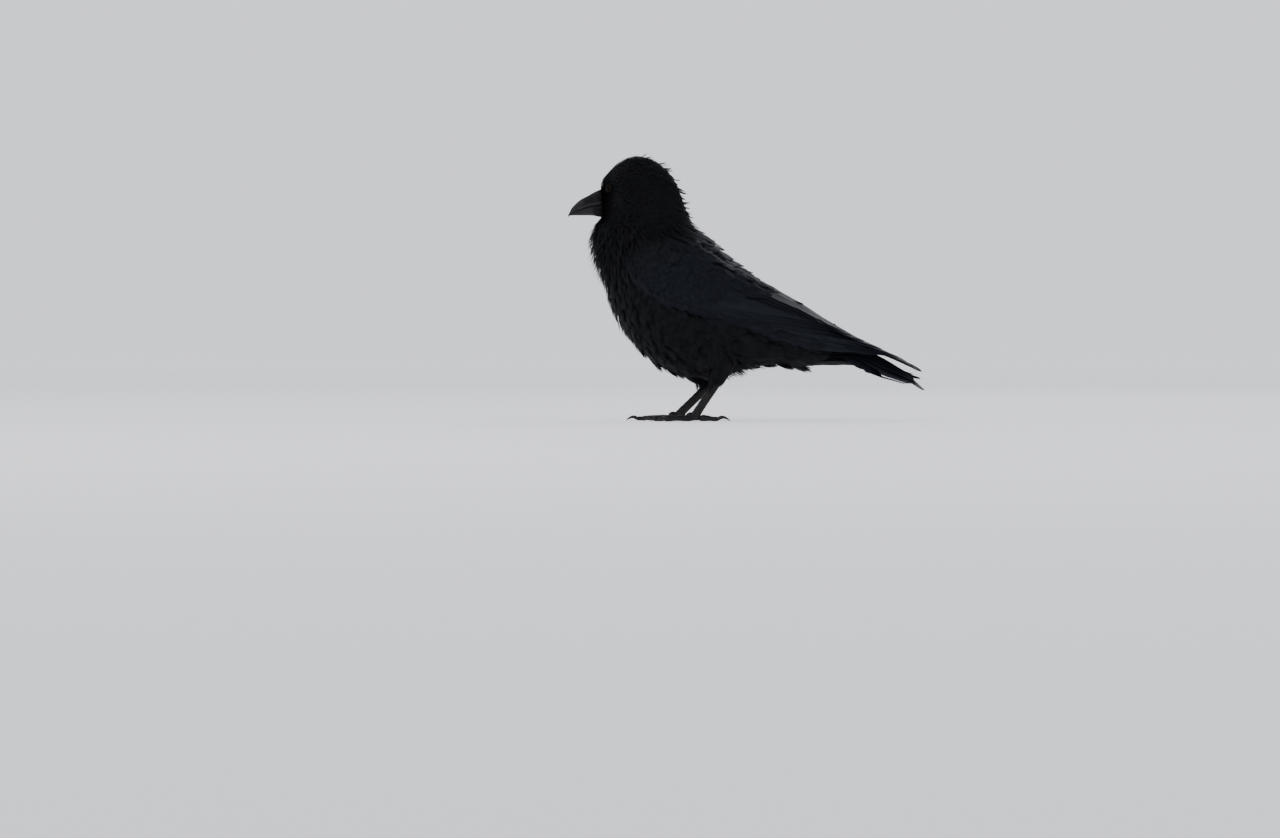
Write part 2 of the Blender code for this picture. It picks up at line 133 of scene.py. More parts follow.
def vertex_normals(points, faces):
    a, b, c = (points[faces[:, i]] for i in range(3))
    facing = np.cross(b - a, c - a)
    normals = np.zeros_like(points)
    for i in range(3):
        np.add.at(normals, faces[:, i], facing)
    return unit(normals)


def tree_of(points, faces):
    return BVHTree.FromPolygons(points.tolist(), faces.tolist())


def down_to(tree, x, y):
    """The place where a line straight down at x and y meets a surface, or None."""
    return tree.ray_cast((x, y, 0.4), (0, 0, -1))[0]


def up_to(tree, x, y):
    """The place where a line straight up from the floor at x and y meets a surface, or None."""
    return tree.ray_cast((x, y, 0.0), (0, 0, 1))[0]


def join(meshes):
    """Several (points, triangles) as one."""
    points, faces, offset = [], [], 0
    for p, f in meshes:
        points.append(p)
        faces.append(f + offset)
        offset += len(p)
    return np.vstack(points), np.vstack(faces)


def bands(grid):
    """Quads between the rows of a grid of vertex numbers, where each row is a closed ring."""
    turned = np.roll(grid, -1, axis=1)
    return np.stack([grid[:-1], grid[1:], turned[1:], turned[:-1]], axis=-1).reshape(-1, 4)


def halves(quads):
    """Each quad as two triangles."""
    return np.vstack([quads[:, [0, 1, 2]], quads[:, [0, 2, 3]]])


def new_mesh(name, points, faces, uvs=None, values=None):
    """A smooth mesh from arrays. faces all have the same number of corners, uvs maps a name to one (u, v)
    for each vertex, and values maps a name to one number for each vertex."""
    points = np.asarray(points, np.float32)
    faces = np.asarray(faces, np.int32)
    corners = faces.shape[1]
    mesh = bpy.data.meshes.new(name)
    mesh.vertices.add(len(points))
    mesh.vertices.foreach_set("co", points.ravel())
    mesh.loops.add(faces.size)
    mesh.loops.foreach_set("vertex_index", faces.ravel())
    mesh.polygons.add(len(faces))
    mesh.polygons.foreach_set("loop_start", np.arange(0, faces.size, corners, dtype=np.int32))
    mesh.update(calc_edges=True)
    for label, uv in (uvs or {}).items():
        layer = mesh.uv_layers.new(name=label)
        layer.data.foreach_set("uv", np.asarray(uv, np.float32)[faces.ravel()].ravel())
    for label, value in (values or {}).items():
        layer = mesh.attributes.new(label, "FLOAT", "POINT")
        layer.data.foreach_set("value", np.asarray(value, np.float32))
    mesh.polygons.foreach_set("use_smooth", np.ones(len(faces), bool))
    mesh.validate()
    return mesh


def add_object(name, data):
    made = bpy.data.objects.new(name, data)
    bpy.context.scene.collection.objects.link(made)
    return made


def add_piece(name, mesh, material, replaces=()):
    piece = add_object(name, mesh)
    mesh.materials.append(material)
    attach(piece, "root")
    if replaces:
        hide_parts(*replaces)


# ---------------------------------------------------------------- the bird's form, from the CAD nodes


def smooth_union(nodes, voxel, passes):
    """One smooth closed surface round several CAD nodes, as vertices, quads and triangles."""
    swell = 0.8 * MM
    parts = []
    for name in nodes:
        points, faces = node_mesh(name)
        parts.append((points + vertex_normals(points, faces) * swell, faces))
    rough = add_object("form", new_mesh("form", *join(parts)))
    remesh = rough.modifiers.new("remesh", "REMESH")
    remesh.mode = "VOXEL"
    remesh.voxel_size = voxel
    relax = rough.modifiers.new("relax", "SMOOTH")
    relax.factor = 0.5
    relax.iterations = passes
    made = rough.evaluated_get(bpy.context.evaluated_depsgraph_get()).to_mesh()
    points = np.zeros(len(made.vertices) * 3, np.float32)
    made.vertices.foreach_get("co", points)
    points = points.reshape(-1, 3).astype(float)
    quads = np.zeros(len(made.polygons) * 4, np.int32)
    made.polygons.foreach_get("vertices", quads)
    quads = quads.reshape(-1, 4)
    bpy.data.objects.remove(rough)
    triangles = halves(quads)
    points -= vertex_normals(points, triangles) * swell
    return points, quads, triangles


class Form:
    """The smooth outer form of the plumage, and where a point lies on it."""

    VOXEL = 1.7 * MM
    RELAX_PASSES = 14
    NORMAL_PASSES = 12
    AXIS_SHARES = (0.34, 0.52, 0.72)
    AXIS_STEPS = 60
    BLOCK = 4000

    def __init__(self):
        nodes = BODY_NODES + ["eye_" + side for side in SIDES]
        self.points, self.quads, self.triangles = smooth_union(nodes, self.VOXEL, self.RELAX_PASSES)
        self.normals = vertex_normals(self.points, self.triangles)
        for _ in range(self.NORMAL_PASSES):
            self.normals = self.blurred(self.normals)
        self.tree = tree_of(self.points, self.triangles)
        trunk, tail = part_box("trunk"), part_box("tail")
        self.head_middle = middle_of(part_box("head"))
        knots = [self.head_middle + UP * 30 * MM, self.head_middle, middle_of(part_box("neck"))]
        for share in self.AXIS_SHARES:
            x = trunk[0].x + (trunk[1].x - trunk[0].x) * share
            knots.append(np.array([x, 0.0, self.middle_height(x)]))
        knots += [middle_of(tail), np.array([tail[1].x, 0.0, tail[0].z])]
        self.axis = dense_curve(np.array(knots), self.AXIS_STEPS)
        steps = np.linalg.norm(np.diff(self.axis, axis=0), axis=1)
        self.axis_length = np.concatenate([[0.0], np.cumsum(steps)])
        self.tangent = unit(np.gradient(self.axis, axis=0))
        self.back = triples(-self.tangent[:, 2], 0, self.tangent[:, 0])

    def blurred(self, normals):
        """Each normal averaged with those across its quads."""
        total = np.zeros_like(normals)
        around = normals[self.quads].sum(axis=1)
        for corner in range(4):
            np.add.at(total, self.quads[:, corner], around)
        return unit(total)

    def middle_height(self, x):
        return (down_to(self.tree, x, 0.0).z + up_to(self.tree, x, 0.0).z) / 2

    def place(self, points):
        """For each point its distance along the body's axis from the crown, and its angle round the axis
        in degrees: 0 at the throat and belly, 180 at the back, on either side."""
        length = np.empty(len(points))
        angle = np.empty(len(points))
        for start in range(0, len(points), self.BLOCK):
            block = slice(start, start + self.BLOCK)
            part = points[block]
            nearest = np.linalg.norm(part[:, None] - self.axis[None], axis=2).argmin(axis=1)
            out = part - self.axis[nearest]
            length[block] = self.axis_length[nearest]
            up = (out * self.back[nearest]).sum(axis=1)
            angle[block] = np.degrees(np.arctan2(np.abs(out[:, 1]), -up))
        return length, angle

    def on_axis(self, length):
        """The axis point and the way to the back, at a distance along the axis."""
        point, back = (
            np.array([np.interp(length, self.axis_length, rows[:, i]) for i in range(3)])
            for rows in (self.axis, self.back)
        )
        return point, unit(back)


def dense_curve(knots, steps):
    """A smooth curve through the knots (Catmull-Rom), with steps points to each stretch."""
    knots = np.vstack([2 * knots[0] - knots[1], knots, 2 * knots[-1] - knots[-2]])
    curve = []
    for a, b, c, d in zip(knots, knots[1:], knots[2:], knots[3:]):
        for t in np.arange(steps) / steps:
            straight = 2 * b + (c - a) * t
            bent = straight + (2 * a - 5 * b + 4 * c - d) * t * t + (3 * b - a - 3 * c + d) * t**3
            curve.append(0.5 * bent)
    curve.append(knots[-2])
    return np.array(curve)


form = Form()
TOTAL_LENGTH = form.axis_length[-1]

COVERED_BILL = 7 * MM
EYE_OPENING = 4.5 * MM


def bill_line():
    """The bill's tip, the middle of where it leaves the face, and the way it points, level."""
    points = node_mesh("bill_upper")[0]
    away = np.linalg.norm(points[:, :2] - form.head_middle[:2], axis=1)
    tip = points[away.argmax()]
    far = np.linalg.norm(points - tip, axis=1)
    root = points[far > 0.9 * far.max()].mean(axis=0)
    forward = unit((tip - root) * (1, 1, 0))
    base = root + forward * COVERED_BILL
    low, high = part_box("bill_lower")[0].z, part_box("bill_upper")[1].z
    base[2] = (low + high) / 2
    return tip, base, forward


BILL_TIP, BILL_BASE, FORWARD = bill_line()
HEAD_SIDE = np.array([-FORWARD[1], FORWARD[0], 0.0])
EYES = {side: middle_of(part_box("eye_" + side)) for side in SIDES}


def eye_outward(side):
    """The way an eye looks: out to its side of the head and a little forward."""
    across = (EYES[side] - form.head_middle) @ HEAD_SIDE
    return unit(HEAD_SIDE * np.sign(across) + FORWARD * 0.38 + UP * 0.06)


def from_eye(side, points):
    """How far points lie from the line an eye looks along. Points on the head's other side lie far off."""
    out = points - EYES[side]
    ahead = out @ eye_outward(side)
    away = np.sqrt(np.maximum((out**2).sum(axis=1) - ahead**2, 0))
    return np.where(ahead > -9 * MM, away, 90 * MM)


# ---------------------------------------------------------------- the folded wings' surfaces


class Wing:
    """One folded wing's outer surface: u is metres along it from the wrist, v is 0 at its lower edge and
    1 at its upper one."""

    STEP = 4 * MM
    COLUMNS = 25
    BEFORE, AFTER = 3, 8
    RAY = 150 * MM
    ANGLES = np.arange(30.0, 180.0, 1.5)
    EDGE_INSET = 0.5

    def __init__(self, side):
        self.sign = SIDES[side]
        points, faces = join([node_mesh("wing_" + side), node_mesh("primaries_" + side)])
        tree = tree_of(points, faces)
        lengths = form.place(points)[0]
        self.start = lengths.min() + self.STEP
        stations = np.arange(self.start, lengths.max() - self.STEP, self.STEP)
        self.length = (len(stations) - 1) * self.STEP
        edges = np.array([self.find_edges(tree, station) for station in stations])
        self.edges = smoothed(fill_gaps(edges), 4)
        grid = np.array([self.section(tree, s, low, high) for s, (low, high) in zip(stations, self.edges)])
        for _ in range(3):
            smoothed(grid)
            smoothed(grid.swapaxes(0, 1))
        before = [grid[0] * (k + 1) - grid[1] * k for k in range(self.BEFORE, 0, -1)]
        after = [grid[-1] * (k + 1) - grid[-2] * k for k in range(1, self.AFTER + 1)]
        self.grid = np.concatenate([before, grid, after])
        along = np.gradient(self.grid, axis=0)
        across = np.gradient(self.grid, axis=1)
        self.width = np.linalg.norm(np.diff(self.grid, axis=1), axis=2).sum(axis=1)
        self.normal = unit(np.cross(along, across)) * -self.sign

    def ray(self, tree, station, angle):
        """Where a line in to the body's axis meets the wing, or None."""
        centre, back = form.on_axis(station)
        turn = math.radians(angle)
        out = -math.cos(turn) * back + math.sin(turn) * self.sign * ACROSS
        return tree.ray_cast(centre + out * self.RAY, -out, self.RAY)[0]

    def find_edges(self, tree, station):
        """The angles round the body's axis between which the wing lies."""
        met = [angle for angle in self.ANGLES if self.ray(tree, station, angle)]
        if len(met) <= 2:
            return np.nan, np.nan
        return met[0] + self.EDGE_INSET, met[-1] - self.EDGE_INSET

    def section(self, tree, station, low, high):
        row = np.full((self.COLUMNS, 3), np.nan)
        for i, angle in enumerate(np.linspace(low, high, self.COLUMNS)):
            hit = self.ray(tree, station, angle)
            if hit:
                row[i] = hit
        return fill_gaps(row)

    def at(self, u, v):
        """Points and outward normals at u, v, which are arrays of one shape."""
        i = u / self.STEP + self.BEFORE
        j = v * (self.COLUMNS - 1)
        i0 = np.clip(np.floor(i).astype(int), 0, len(self.grid) - 2)
        j0 = np.clip(np.floor(j).astype(int), 0, self.COLUMNS - 2)
        a, b = (i - i0)[..., None], np.clip(j - j0, -8, 9)[..., None]

        def between(g):
            here = g[i0, j0] * (1 - a) * (1 - b) + g[i0 + 1, j0] * a * (1 - b)
            return here + g[i0, j0 + 1] * (1 - a) * b + g[i0 + 1, j0 + 1] * a * b

        return between(self.grid), unit(between(self.normal))

    def width_at(self, u):
        rows = np.arange(len(self.width)) - self.BEFORE
        return np.interp(u / self.STEP, rows, self.width)

    def locate(self, points):
        """u and v of points near the wing, v being nan past its two ends."""
        length, angle = form.place(points)
        u = length - self.start
        rows = np.arange(len(self.edges)) * self.STEP
        low = np.interp(u, rows, self.edges[:, 0])
        high = np.interp(u, rows, self.edges[:, 1])
        v = (angle - low) / (high - low)
        v[(u < 0) | (u > self.length)] = np.nan
        v[points[:, 1] * self.sign < 0] = np.nan
        return u, v


def fill_gaps(rows):
    """Rows with nan filled from their neighbours."""
    good = ~np.isnan(rows[:, 0])
    if not good.any():
        return rows
    places = np.arange(len(rows))
    return np.stack([np.interp(places, places[good], column[good]) for column in rows.T], axis=1)


WINGS = {side: Wing(side) for side in SIDES}


# ---------------------------------------------------------------- feathers


def on_unwrap(roots):
    """Each root's place on an unwrap of the skin: round the body across it and along the body up it."""
    length, angle = form.place(roots)
    spots = np.stack([np.sign(roots[:, 1]) * angle / 360, length / TOTAL_LENGTH], axis=1)
    low, high = spots.min(axis=0), spots.max(axis=0)
    return 0.01 + 0.98 * (spots - low) / (high - low)


class Coat:
    """Gathers contour feathers and makes them one mesh."""

    PATCH = 0.003
    VANE_UNIT = 20 * MM

    def __init__(self):
        self.points, self.faces, self.bake, self.vane, self.roots = [], [], [], [], []
        self.values = {"tone": [], "gloss": [], "edge": []}
        self.count = 0

    def add(self, points, faces, local, size, tone, gloss, roots):
        """points: feathers x vertices x 3. local: each vertex's place in its feather, across from -1 to 1
        and along from 0 to 1. size: each feather's half width and length."""
        number, each = points.shape[:2]
        offsets = self.count + np.arange(number)[:, None, None] * each
        self.points.append(points.reshape(-1, 3))
        self.faces.append((faces[None] + offsets).reshape(-1, 3))
        self.vane.append((local * size[:, None, :] / self.VANE_UNIT).reshape(-1, 2))
        self.values["tone"].append(np.repeat(tone, each))
        self.values["gloss"].append(np.repeat(gloss, each))
        self.values["edge"].append(np.abs(local[:, :, 0]).ravel())
        self.bake.append((local * (0.5, 1.0) - (0.0, 0.5)).reshape(-1, 2) * self.PATCH)
        self.roots.append(np.repeat(roots, each, axis=0))
        self.count += number * each

    def make(self, name):
        bake = on_unwrap(np.vstack(self.roots)) + np.vstack(self.bake)
        uvs = {"OFBake": bake, "vane": np.vstack(self.vane)}
        values = {key: np.concatenate(parts) for key, parts in self.values.items()}
        mesh = new_mesh(name, np.vstack(self.points), np.vstack(self.faces), uvs, values)
        add_piece(name, mesh, FEATHER)


class Vane:
    """A feather's pattern: a shaft, a closed web of barbs on both sides of it, and an edge where the barbs
    part in bundles. outline(q) is the half width at a share q of the way from root to tip; web is the
    share of it that stays closed, and parting the share of a bundle that is open at the edge."""

    CAMBER = 0.22

    def __init__(self, bundles, outline, web, parting, sweep):
        self.places, self.tags, faces = [], [], []
        lines = [(1 - sweep) * i / bundles for i in range(bundles + 1)]
        shaft = [self.vertex(0.0, along, 0) for along in lines]
        for side in (-1, 1):
            inner = shaft
            if web > 0:
                inner = [
                    self.vertex(side * web * outline(i / bundles), along + sweep * web, 0)
                    for i, along in enumerate(lines)
                ]
                for i in range(bundles):
                    faces += self.quad(shaft[i], inner[i], inner[i + 1], shaft[i + 1], side)
            for i in range(bundles):
                ends = []
                for q in (i / bundles, (i + 1 - parting) / bundles):
                    ends.append(self.vertex(side * outline(q), (1 - sweep) * q + sweep, 1 + len(faces)))
                faces += self.quad(inner[i], ends[0], ends[1], inner[i + 1], side)
        self.local = np.array(self.places)
        tags = sorted(set(self.tags))
        self.bundle = np.array([tags.index(tag) for tag in self.tags])
        self.faces = np.array(faces)
        self.bundles = len(tags)

    def vertex(self, across, along, tag):
        self.places.append((across, along))
        self.tags.append(tag)
        return len(self.places) - 1

    @staticmethod
    def quad(a, b, c, d, side):
        return [(a, b, c), (a, c, d)] if side > 0 else [(a, c, b), (a, d, c)]

    def lay(self, coat, lines, normals, half_widths, lengths, shine, ragged=0.1, height=None):
        """Adds feathers along lines (feathers x samples x 3). height(along), if given, is the distance out
        from the line for each feather and vertex."""
        number, samples = lines.shape[:2]
        tone = 0.5 + RNG.uniform(-0.2, 0.2, number)
        local = np.broadcast_to(self.local, (number, len(self.local), 2)).copy()
        rough = 1 + ragged * RNG.uniform(-1, 0.5, (number, self.bundles))
        rough[:, 0] = 1.0
        rough = rough[:, self.bundle]
        local[:, :, 0] *= rough
        local[:, :, 1] += (rough - 1) * 0.3
        across, along = local[:, :, 0], local[:, :, 1]
        place = np.clip(along, 0, 1) * (samples - 1)
        low = np.minimum(place.astype(int), samples - 2)
        share = (place - low)[..., None]
        row = np.arange(number)[:, None]

        def between(rows):
            return rows[row, low] * (1 - share) + rows[row, low + 1] * share

        normal = unit(between(normals))
        ahead = unit(between(unit(np.gradient(lines, axis=1))))
        side = unit(np.cross(normal, ahead))
        out = -self.CAMBER * np.abs(across) ** 1.5 * half_widths[:, None]
        if height:
            out = out + height(along)
        aside = across * half_widths[:, None]
        points = between(lines) + side * aside[..., None] + normal * out[..., None]
        size = np.stack([half_widths, lengths], axis=1)
        coat.add(points, self.faces, local, size, tone, shine, lines[:, 0])


def round_tip(q):
    """Half width of a contour feather: narrow at its root, broad at two thirds, round at its tip."""
    return (0.4 + 0.6 * math.sin(math.pi * min(0.5, 0.1 + 0.7 * q))) * math.sqrt(max(0.01, 1 - q**4.5))


def pointed_tip(q):
    """Half width of a hackle: broadest at a third of its length, drawn out to a point."""
    return (0.55 + 0.45 * math.sin(math.pi * min(0.5, 0.2 + 0.9 * q))) * max(0.04, 1 - q**2.4)


BACK_VANE = Vane(16, round_tip, web=0.82, parting=0.2, sweep=0.26)
BODY_VANE = Vane(15, round_tip, web=0.6, parting=0.35, sweep=0.33)
HACKLE_VANE = Vane(11, pointed_tip, web=0.45, parting=0.4, sweep=0.36)
HEAD_VANE = Vane(6, pointed_tip, web=0.0, parting=0.35, sweep=0.34)
SPIKE_VANE = Vane(5, pointed_tip, web=0.55, parting=0.3, sweep=0.45)
DOWN_VANE = Vane(4, pointed_tip, web=0.0, parting=0.6, sweep=0.4)


TRIES = 7


def scatter(points, triangles, spacing, keep):
    """Points spread evenly over a surface, none nearer another than spacing there. spacing and keep are
    for each triangle. Gives each point's place and triangle: of TRIES random points for each square of
    the spacing, those that have room."""
    a, b, c = (points[triangles[:, i]] for i in range(3))
    area = np.linalg.norm(np.cross(b - a, c - a), axis=1) / 2
    weight = np.where(keep, area / spacing**2, 0.0)
    number = int(weight.sum() * TRIES)
    chosen = RNG.choice(len(triangles), number, p=weight / weight.sum())
    s, t = RNG.random((2, number))
    fold = s + t > 1
    s[fold], t[fold] = 1 - s[fold], 1 - t[fold]
    a, b, c = a[chosen], b[chosen], c[chosen]
    places = a + (b - a) * s[:, None] + (c - a) * t[:, None]
    tree = KDTree(number)
    for i, place in enumerate(places):
        tree.insert(place, i)
    tree.balance()
    free = np.ones(number, bool)
    taken = []
    reach = spacing[chosen]
    for i in range(number):
        if free[i]:
            taken.append(i)
            for _, j, _ in tree.find_range(places[i], reach[i]):
                free[j] = False
    return places[taken], chosen[taken]


LINE_POINTS = 6


def follow(roots, flow, lengths):
    """Lines that start at the roots and run along the form with the flow, and the smooth normals there."""
    lines = np.empty((len(roots), LINE_POINTS, 3))
    normals = np.empty_like(lines)
    for i, root in enumerate(roots):
        spot = Vector(root)
        heading = Vector(flow[i])
        step = lengths[i] / (LINE_POINTS - 1)
        for k in range(LINE_POINTS):
            if k:
                spot = spot + heading * step
            spot, _, index, _ = form.tree.find_nearest(spot)
            normal = Vector(form.normals[form.triangles[index]].mean(axis=0))
            heading = (heading - normal * heading.dot(normal)).normalized()
            lines[i, k] = spot
            normals[i, k] = normal
    return lines, normals


# ---------------------------------------------------------------- materials


class Paint:
    """A procedural material: a Principled shader and short ways to add the nodes before it."""

    def __init__(self, name, **constants):
        self.material = bpy.data.materials.new(name)
        self.material.use_nodes = True
        self.nodes = self.material.node_tree.nodes
        self.links = self.material.node_tree.links
        self.shader = self.nodes["Principled BSDF"]
        for socket, value in constants.items():
            self.shader.inputs[socket.replace("_", " ")].default_value = value

    def node(self, kind, inputs=None, **settings):
        made = self.nodes.new("ShaderNode" + kind)
        for key, value in settings.items():
            setattr(made, key, value)
        for key, value in (inputs or {}).items():
            if isinstance(value, bpy.types.NodeSocket):
                self.links.new(value, made.inputs[key])
            else:
                made.inputs[key].default_value = value
        return made

    def attribute(self, label):
        return self.node("Attribute", attribute_name=label).outputs["Fac"]

    def math(self, operation, first, second=0.0):
        return self.node("Math", {0: first, 1: second}, operation=operation).outputs[0]

    def scaled(self, value, low, high):
        """A 0 to 1 value brought to the range low to high."""
        return self.node("MapRange", {"Value": value, "To Min": low, "To Max": high}).outputs["Result"]

    def colours(self, factor, *stops):
        """A colour ramp through (place, colour) stops."""
        ramp_node = self.node("ValToRGB", {"Fac": factor})
        elements = ramp_node.color_ramp.elements
        while len(elements) < len(stops):
            elements.new(0.5)
        for element, (place, colour) in zip(elements, stops):
            element.position = place
            element.color = (*colour, 1.0)
        return ramp_node.outputs["Color"]

    def noise(self, scale, detail=3.0, vector=None, roughness=0.5):
        vector = vector or self.node("TexCoord").outputs["Object"]
        inputs = {"Scale": scale, "Detail": detail, "Roughness": roughness, "Vector": vector}
        return self.node("TexNoise", inputs).outputs["Fac"]

    def bump(self, height, strength, distance, before=None):
        inputs = {"Height": height, "Strength": strength, "Distance": distance}
        if before:
            inputs["Normal"] = before
        return self.node("Bump", inputs).outputs["Normal"]

    def set(self, socket, value):
        self.links.new(value, self.shader.inputs[socket])


BARB_SPACING = 0.5 * MM
BARB_SLANT = -1.2


def feather_paint(name, barb_relief, specular, sheen_rough, sheen_tint):
    """Black feather: slanting barbs on both sides of the shaft, matt or with a blue gloss by its place,
    each feather a little lighter or darker than the next, and a little paler at its edges: partly the
    feather's own tone, partly painted sheen."""
    tint = {"Specular_Tint": (0.8, 0.87, 1.0, 1.0), "Sheen_Tint": (*sheen_tint, 1.0)}
    sheen = {"Sheen_Weight": 0.012, "Sheen_Roughness": sheen_rough}
    paint = Paint(name, Specular_IOR_Level=specular, **tint, **sheen)
    tone, gloss, edge = (paint.attribute(label) for label in ("tone", "gloss", "edge"))
    vane = paint.node("SeparateXYZ", {0: paint.node("UVMap", uv_map="vane").outputs["UV"]})
    slant = paint.math("MULTIPLY", paint.math("ABSOLUTE", vane.outputs["X"]), BARB_SLANT)
    along = paint.math("ADD", vane.outputs["Y"], slant)
    turns = 2 * math.pi * Coat.VANE_UNIT / BARB_SPACING
    barbs = paint.math("SINE", paint.math("MULTIPLY", along, turns))
    across = paint.math("MULTIPLY", paint.math("ABSOLUTE", vane.outputs["X"]), 0.12)
    bundle = paint.node("CombineXYZ", {0: along, 1: across, 2: paint.math("MULTIPLY", tone, 40.0)})
    streaks = paint.noise(13.0, 3.0, bundle.outputs[0], 0.62)
    shade = paint.math("ADD", tone, paint.scaled(paint.noise(900.0, 2.0), -0.25, 0.25))
    shade = paint.math("ADD", shade, paint.scaled(streaks, -0.45, 0.45))
    # paler edges: partly the feathers' own tone, partly painted sheen along the vane's edge
    shade = paint.math("ADD", shade, paint.math("MULTIPLY", paint.math("POWER", edge, 4.0), 0.35))
    matt = paint.colours(shade, (0.0, (0.0024, 0.0024, 0.0028)), (1.0, (0.0068, 0.0065, 0.0069)))
    blue = paint.colours(shade, (0.0, (0.0021, 0.0025, 0.004)), (1.0, (0.0063, 0.0073, 0.0108)))
    mixed = paint.node("Mix", {0: gloss, 6: matt, 7: blue}, data_type="RGBA")
    paint.set("Base Color", mixed.outputs[2])
    patchy = paint.scaled(paint.noise(60.0), -0.08, 0.08)
    paint.set("Roughness", paint.math("ADD", patchy, paint.scaled(gloss, 0.62, 0.46)))
    parted = paint.bump(streaks, 0.45, 0.45 * MM)
    paint.set("Normal", paint.bump(barbs, barb_relief, 0.1 * MM, before=parted))
    return paint.material


FEATHER = feather_paint("plumage_black", 0.25, 0.09, 0.45, (0.5, 0.58, 0.95))
QUILL = feather_paint("flight_vane", 0.3, 0.12, 0.3, (0.45, 0.5, 0.9))


def grainy_paint(name, scale, detail, dark, light, rough, specular, relief=None):
    """A dull colour with a fine grain. relief is the strength and depth of the grain's bumps."""
    paint = Paint(name, Roughness=rough, Specular_IOR_Level=specular)
    grain = paint.noise(scale, detail)
    paint.set("Base Color", paint.colours(grain, (0.3, dark), (0.7, light)))
    if relief:
        paint.set("Normal", paint.bump(grain, *relief))
    return paint.material


def skin_paint():
    """The dark downy skin under the feathers."""
    dark, light = (0.0022, 0.0022, 0.0026), (0.0058, 0.0056, 0.006)
    return grainy_paint("skin_down", 700.0, 4.0, dark, light, 0.9, 0.04, (0.6, 0.4 * MM))


def bristle_paint():
    dark, light = (0.003, 0.003, 0.0035), (0.009, 0.009, 0.01)
    return grainy_paint("bristle_black", 500.0, 3.0, dark, light, 0.5, 0.2)


def lid_paint():
    dark, light = (0.002, 0.002, 0.0023), (0.0045, 0.0042, 0.0044)
    return grainy_paint("eyelid_skin", 1500.0, 3.0, dark, light, 0.75, 0.08, (0.5, 0.15 * MM))


def horn_paint(name, dark, light, rough, streak_scale):
    """Horn: dark grey-black, with fine growth streaks along it and a dull, worn polish."""
    paint = Paint(name, Specular_IOR_Level=0.2)
    fine = paint.noise(420.0, 4.0)
    broad = paint.noise(90.0, 3.0)
    streaks = paint.noise(streak_scale, 2.0, roughness=0.6)
    mixed = paint.math("ADD", paint.scaled(broad, 0.0, 0.6), paint.scaled(streaks, 0.0, 0.4))
    paint.set("Base Color", paint.colours(mixed, (0.25, dark), (0.75, light)))
    paint.set("Roughness", paint.scaled(fine, rough - 0.07, rough + 0.12))
    worn = paint.bump(fine, 0.25, 0.12 * MM)
    paint.set("Normal", paint.bump(streaks, 0.2, 0.1 * MM, before=worn))
    return paint.material


def eye_paint():
    """A dark brown iris round a black pupil, under a wet clear front."""
    clear_front = {"Coat_Weight": 0.14, "Coat_Roughness": 0.01, "Coat_IOR": 1.36}
    paint = Paint("eye_dark", Roughness=0.3, Specular_IOR_Level=0.03, IOR=1.08, **clear_front)
    ring = paint.attribute("from_pupil")
    threads = paint.scaled(paint.noise(1600.0, 3.0), -0.05, 0.05)
    place = paint.math("ADD", ring, threads)
    black, brown, dark = (0.0004, 0.0004, 0.0004), (0.0065, 0.0034, 0.0019), (0.0018, 0.0012, 0.0009)
    pupil = ((0.0, black), (0.36, black))
    iris = ((0.40, dark), (0.5, brown), (0.68, brown), (0.78, dark))
    paint.set("Base Color", paint.colours(place, *pupil, *iris, (0.9, black)))
    return paint.material


def scaled_paint():
    """Leg skin: dull black scutes, with painted shade darkening the joins between them."""
    paint = Paint("leg_skin", Specular_IOR_Level=0.2)
    groove = paint.attribute("groove")
    grain = paint.noise(900.0, 4.0)
    # painted shade: the base colour is darker along the scute joins that this attribute marks
    shade = paint.math("ADD", paint.scaled(grain, 0.0, 0.6), paint.scaled(groove, 0.3, -0.2))
    dark, light = (0.0025, 0.0025, 0.0025), (0.0088, 0.0084, 0.0082)
    paint.set("Base Color", paint.colours(shade, (0.1, dark), (0.8, light)))
    paint.set("Roughness", paint.scaled(grain, 0.42, 0.66))
    paint.set("Normal", paint.bump(grain, 0.4, 0.15 * MM))
    return paint.material


# ---------------------------------------------------------------- the ground that feathers grow on


class Ground:
    """What lies where on the form, as arrays with a row for each of a set of points."""

    def __init__(self, **values):
        self.__dict__ = values

    def each(self, change):
        """The same with every array changed."""
        return Ground(**{key: change(value) for key, value in self.__dict__.items()})


def nearness(points, nodes, reach):
    """1 on the CAD nodes' own surface, falling to 0 at the reach."""
    tree = tree_of(*join([node_mesh(name) for name in nodes]))
    away = np.array([tree.find_nearest(p)[3] for p in points])
    return 1 - ramp(away, 0.3 * reach, reach)


def thickness(points, normals):
    """How thick the form is under each point, as far as it matters for the coat."""
    most = 30 * MM
    found = np.full(len(points), most)
    for i, (point, normal) in enumerate(zip(points, normals)):
        inward = -Vector(normal)
        hit = form.tree.ray_cast(Vector(point) + inward * 0.2 * MM, inward, most)
        if hit[0]:
            found[i] = hit[3]
    return found


def survey(points, normals):
    """The ground at points of the form: the place along and round the body's axis, how far the bill and
    the nearer eye are, the share of thigh, the place on the wing, and the coat's depth."""
    length, angle = form.place(points)
    at = Ground(points=points, normals=normals, length=length, angle=angle, side=np.sign(points[:, 1]))
    at.bill = np.linalg.norm(points - BILL_BASE, axis=1)
    at.eye = np.min([from_eye(side, points) for side in EYES], axis=0)
    at.thigh = nearness(points, ["thigh_left", "thigh_right"], 7 * MM)
    near_wing = nearness(points, ["wing_left", "wing_right"], 3 * MM) > 0
    at.u = np.zeros(len(points))
    at.v = np.full(len(points), np.nan)
    for wing in WINGS.values():
        u, v = wing.locate(points)
        here = ~np.isnan(v) & near_wing
        at.u[here], at.v[here] = u[here], v[here]
    depth = np.interp(length, [20 * MM, 60 * MM, 110 * MM], [1.6 * MM, 2.4 * MM, 3.0 * MM])
    at.depth = np.minimum(depth * (1 - 0.35 * at.thigh), 0.3 * thickness(points, normals))
    return at


ground = survey(form.points, form.normals)
patches = ground.each(lambda rows: rows[form.triangles].mean(axis=1))


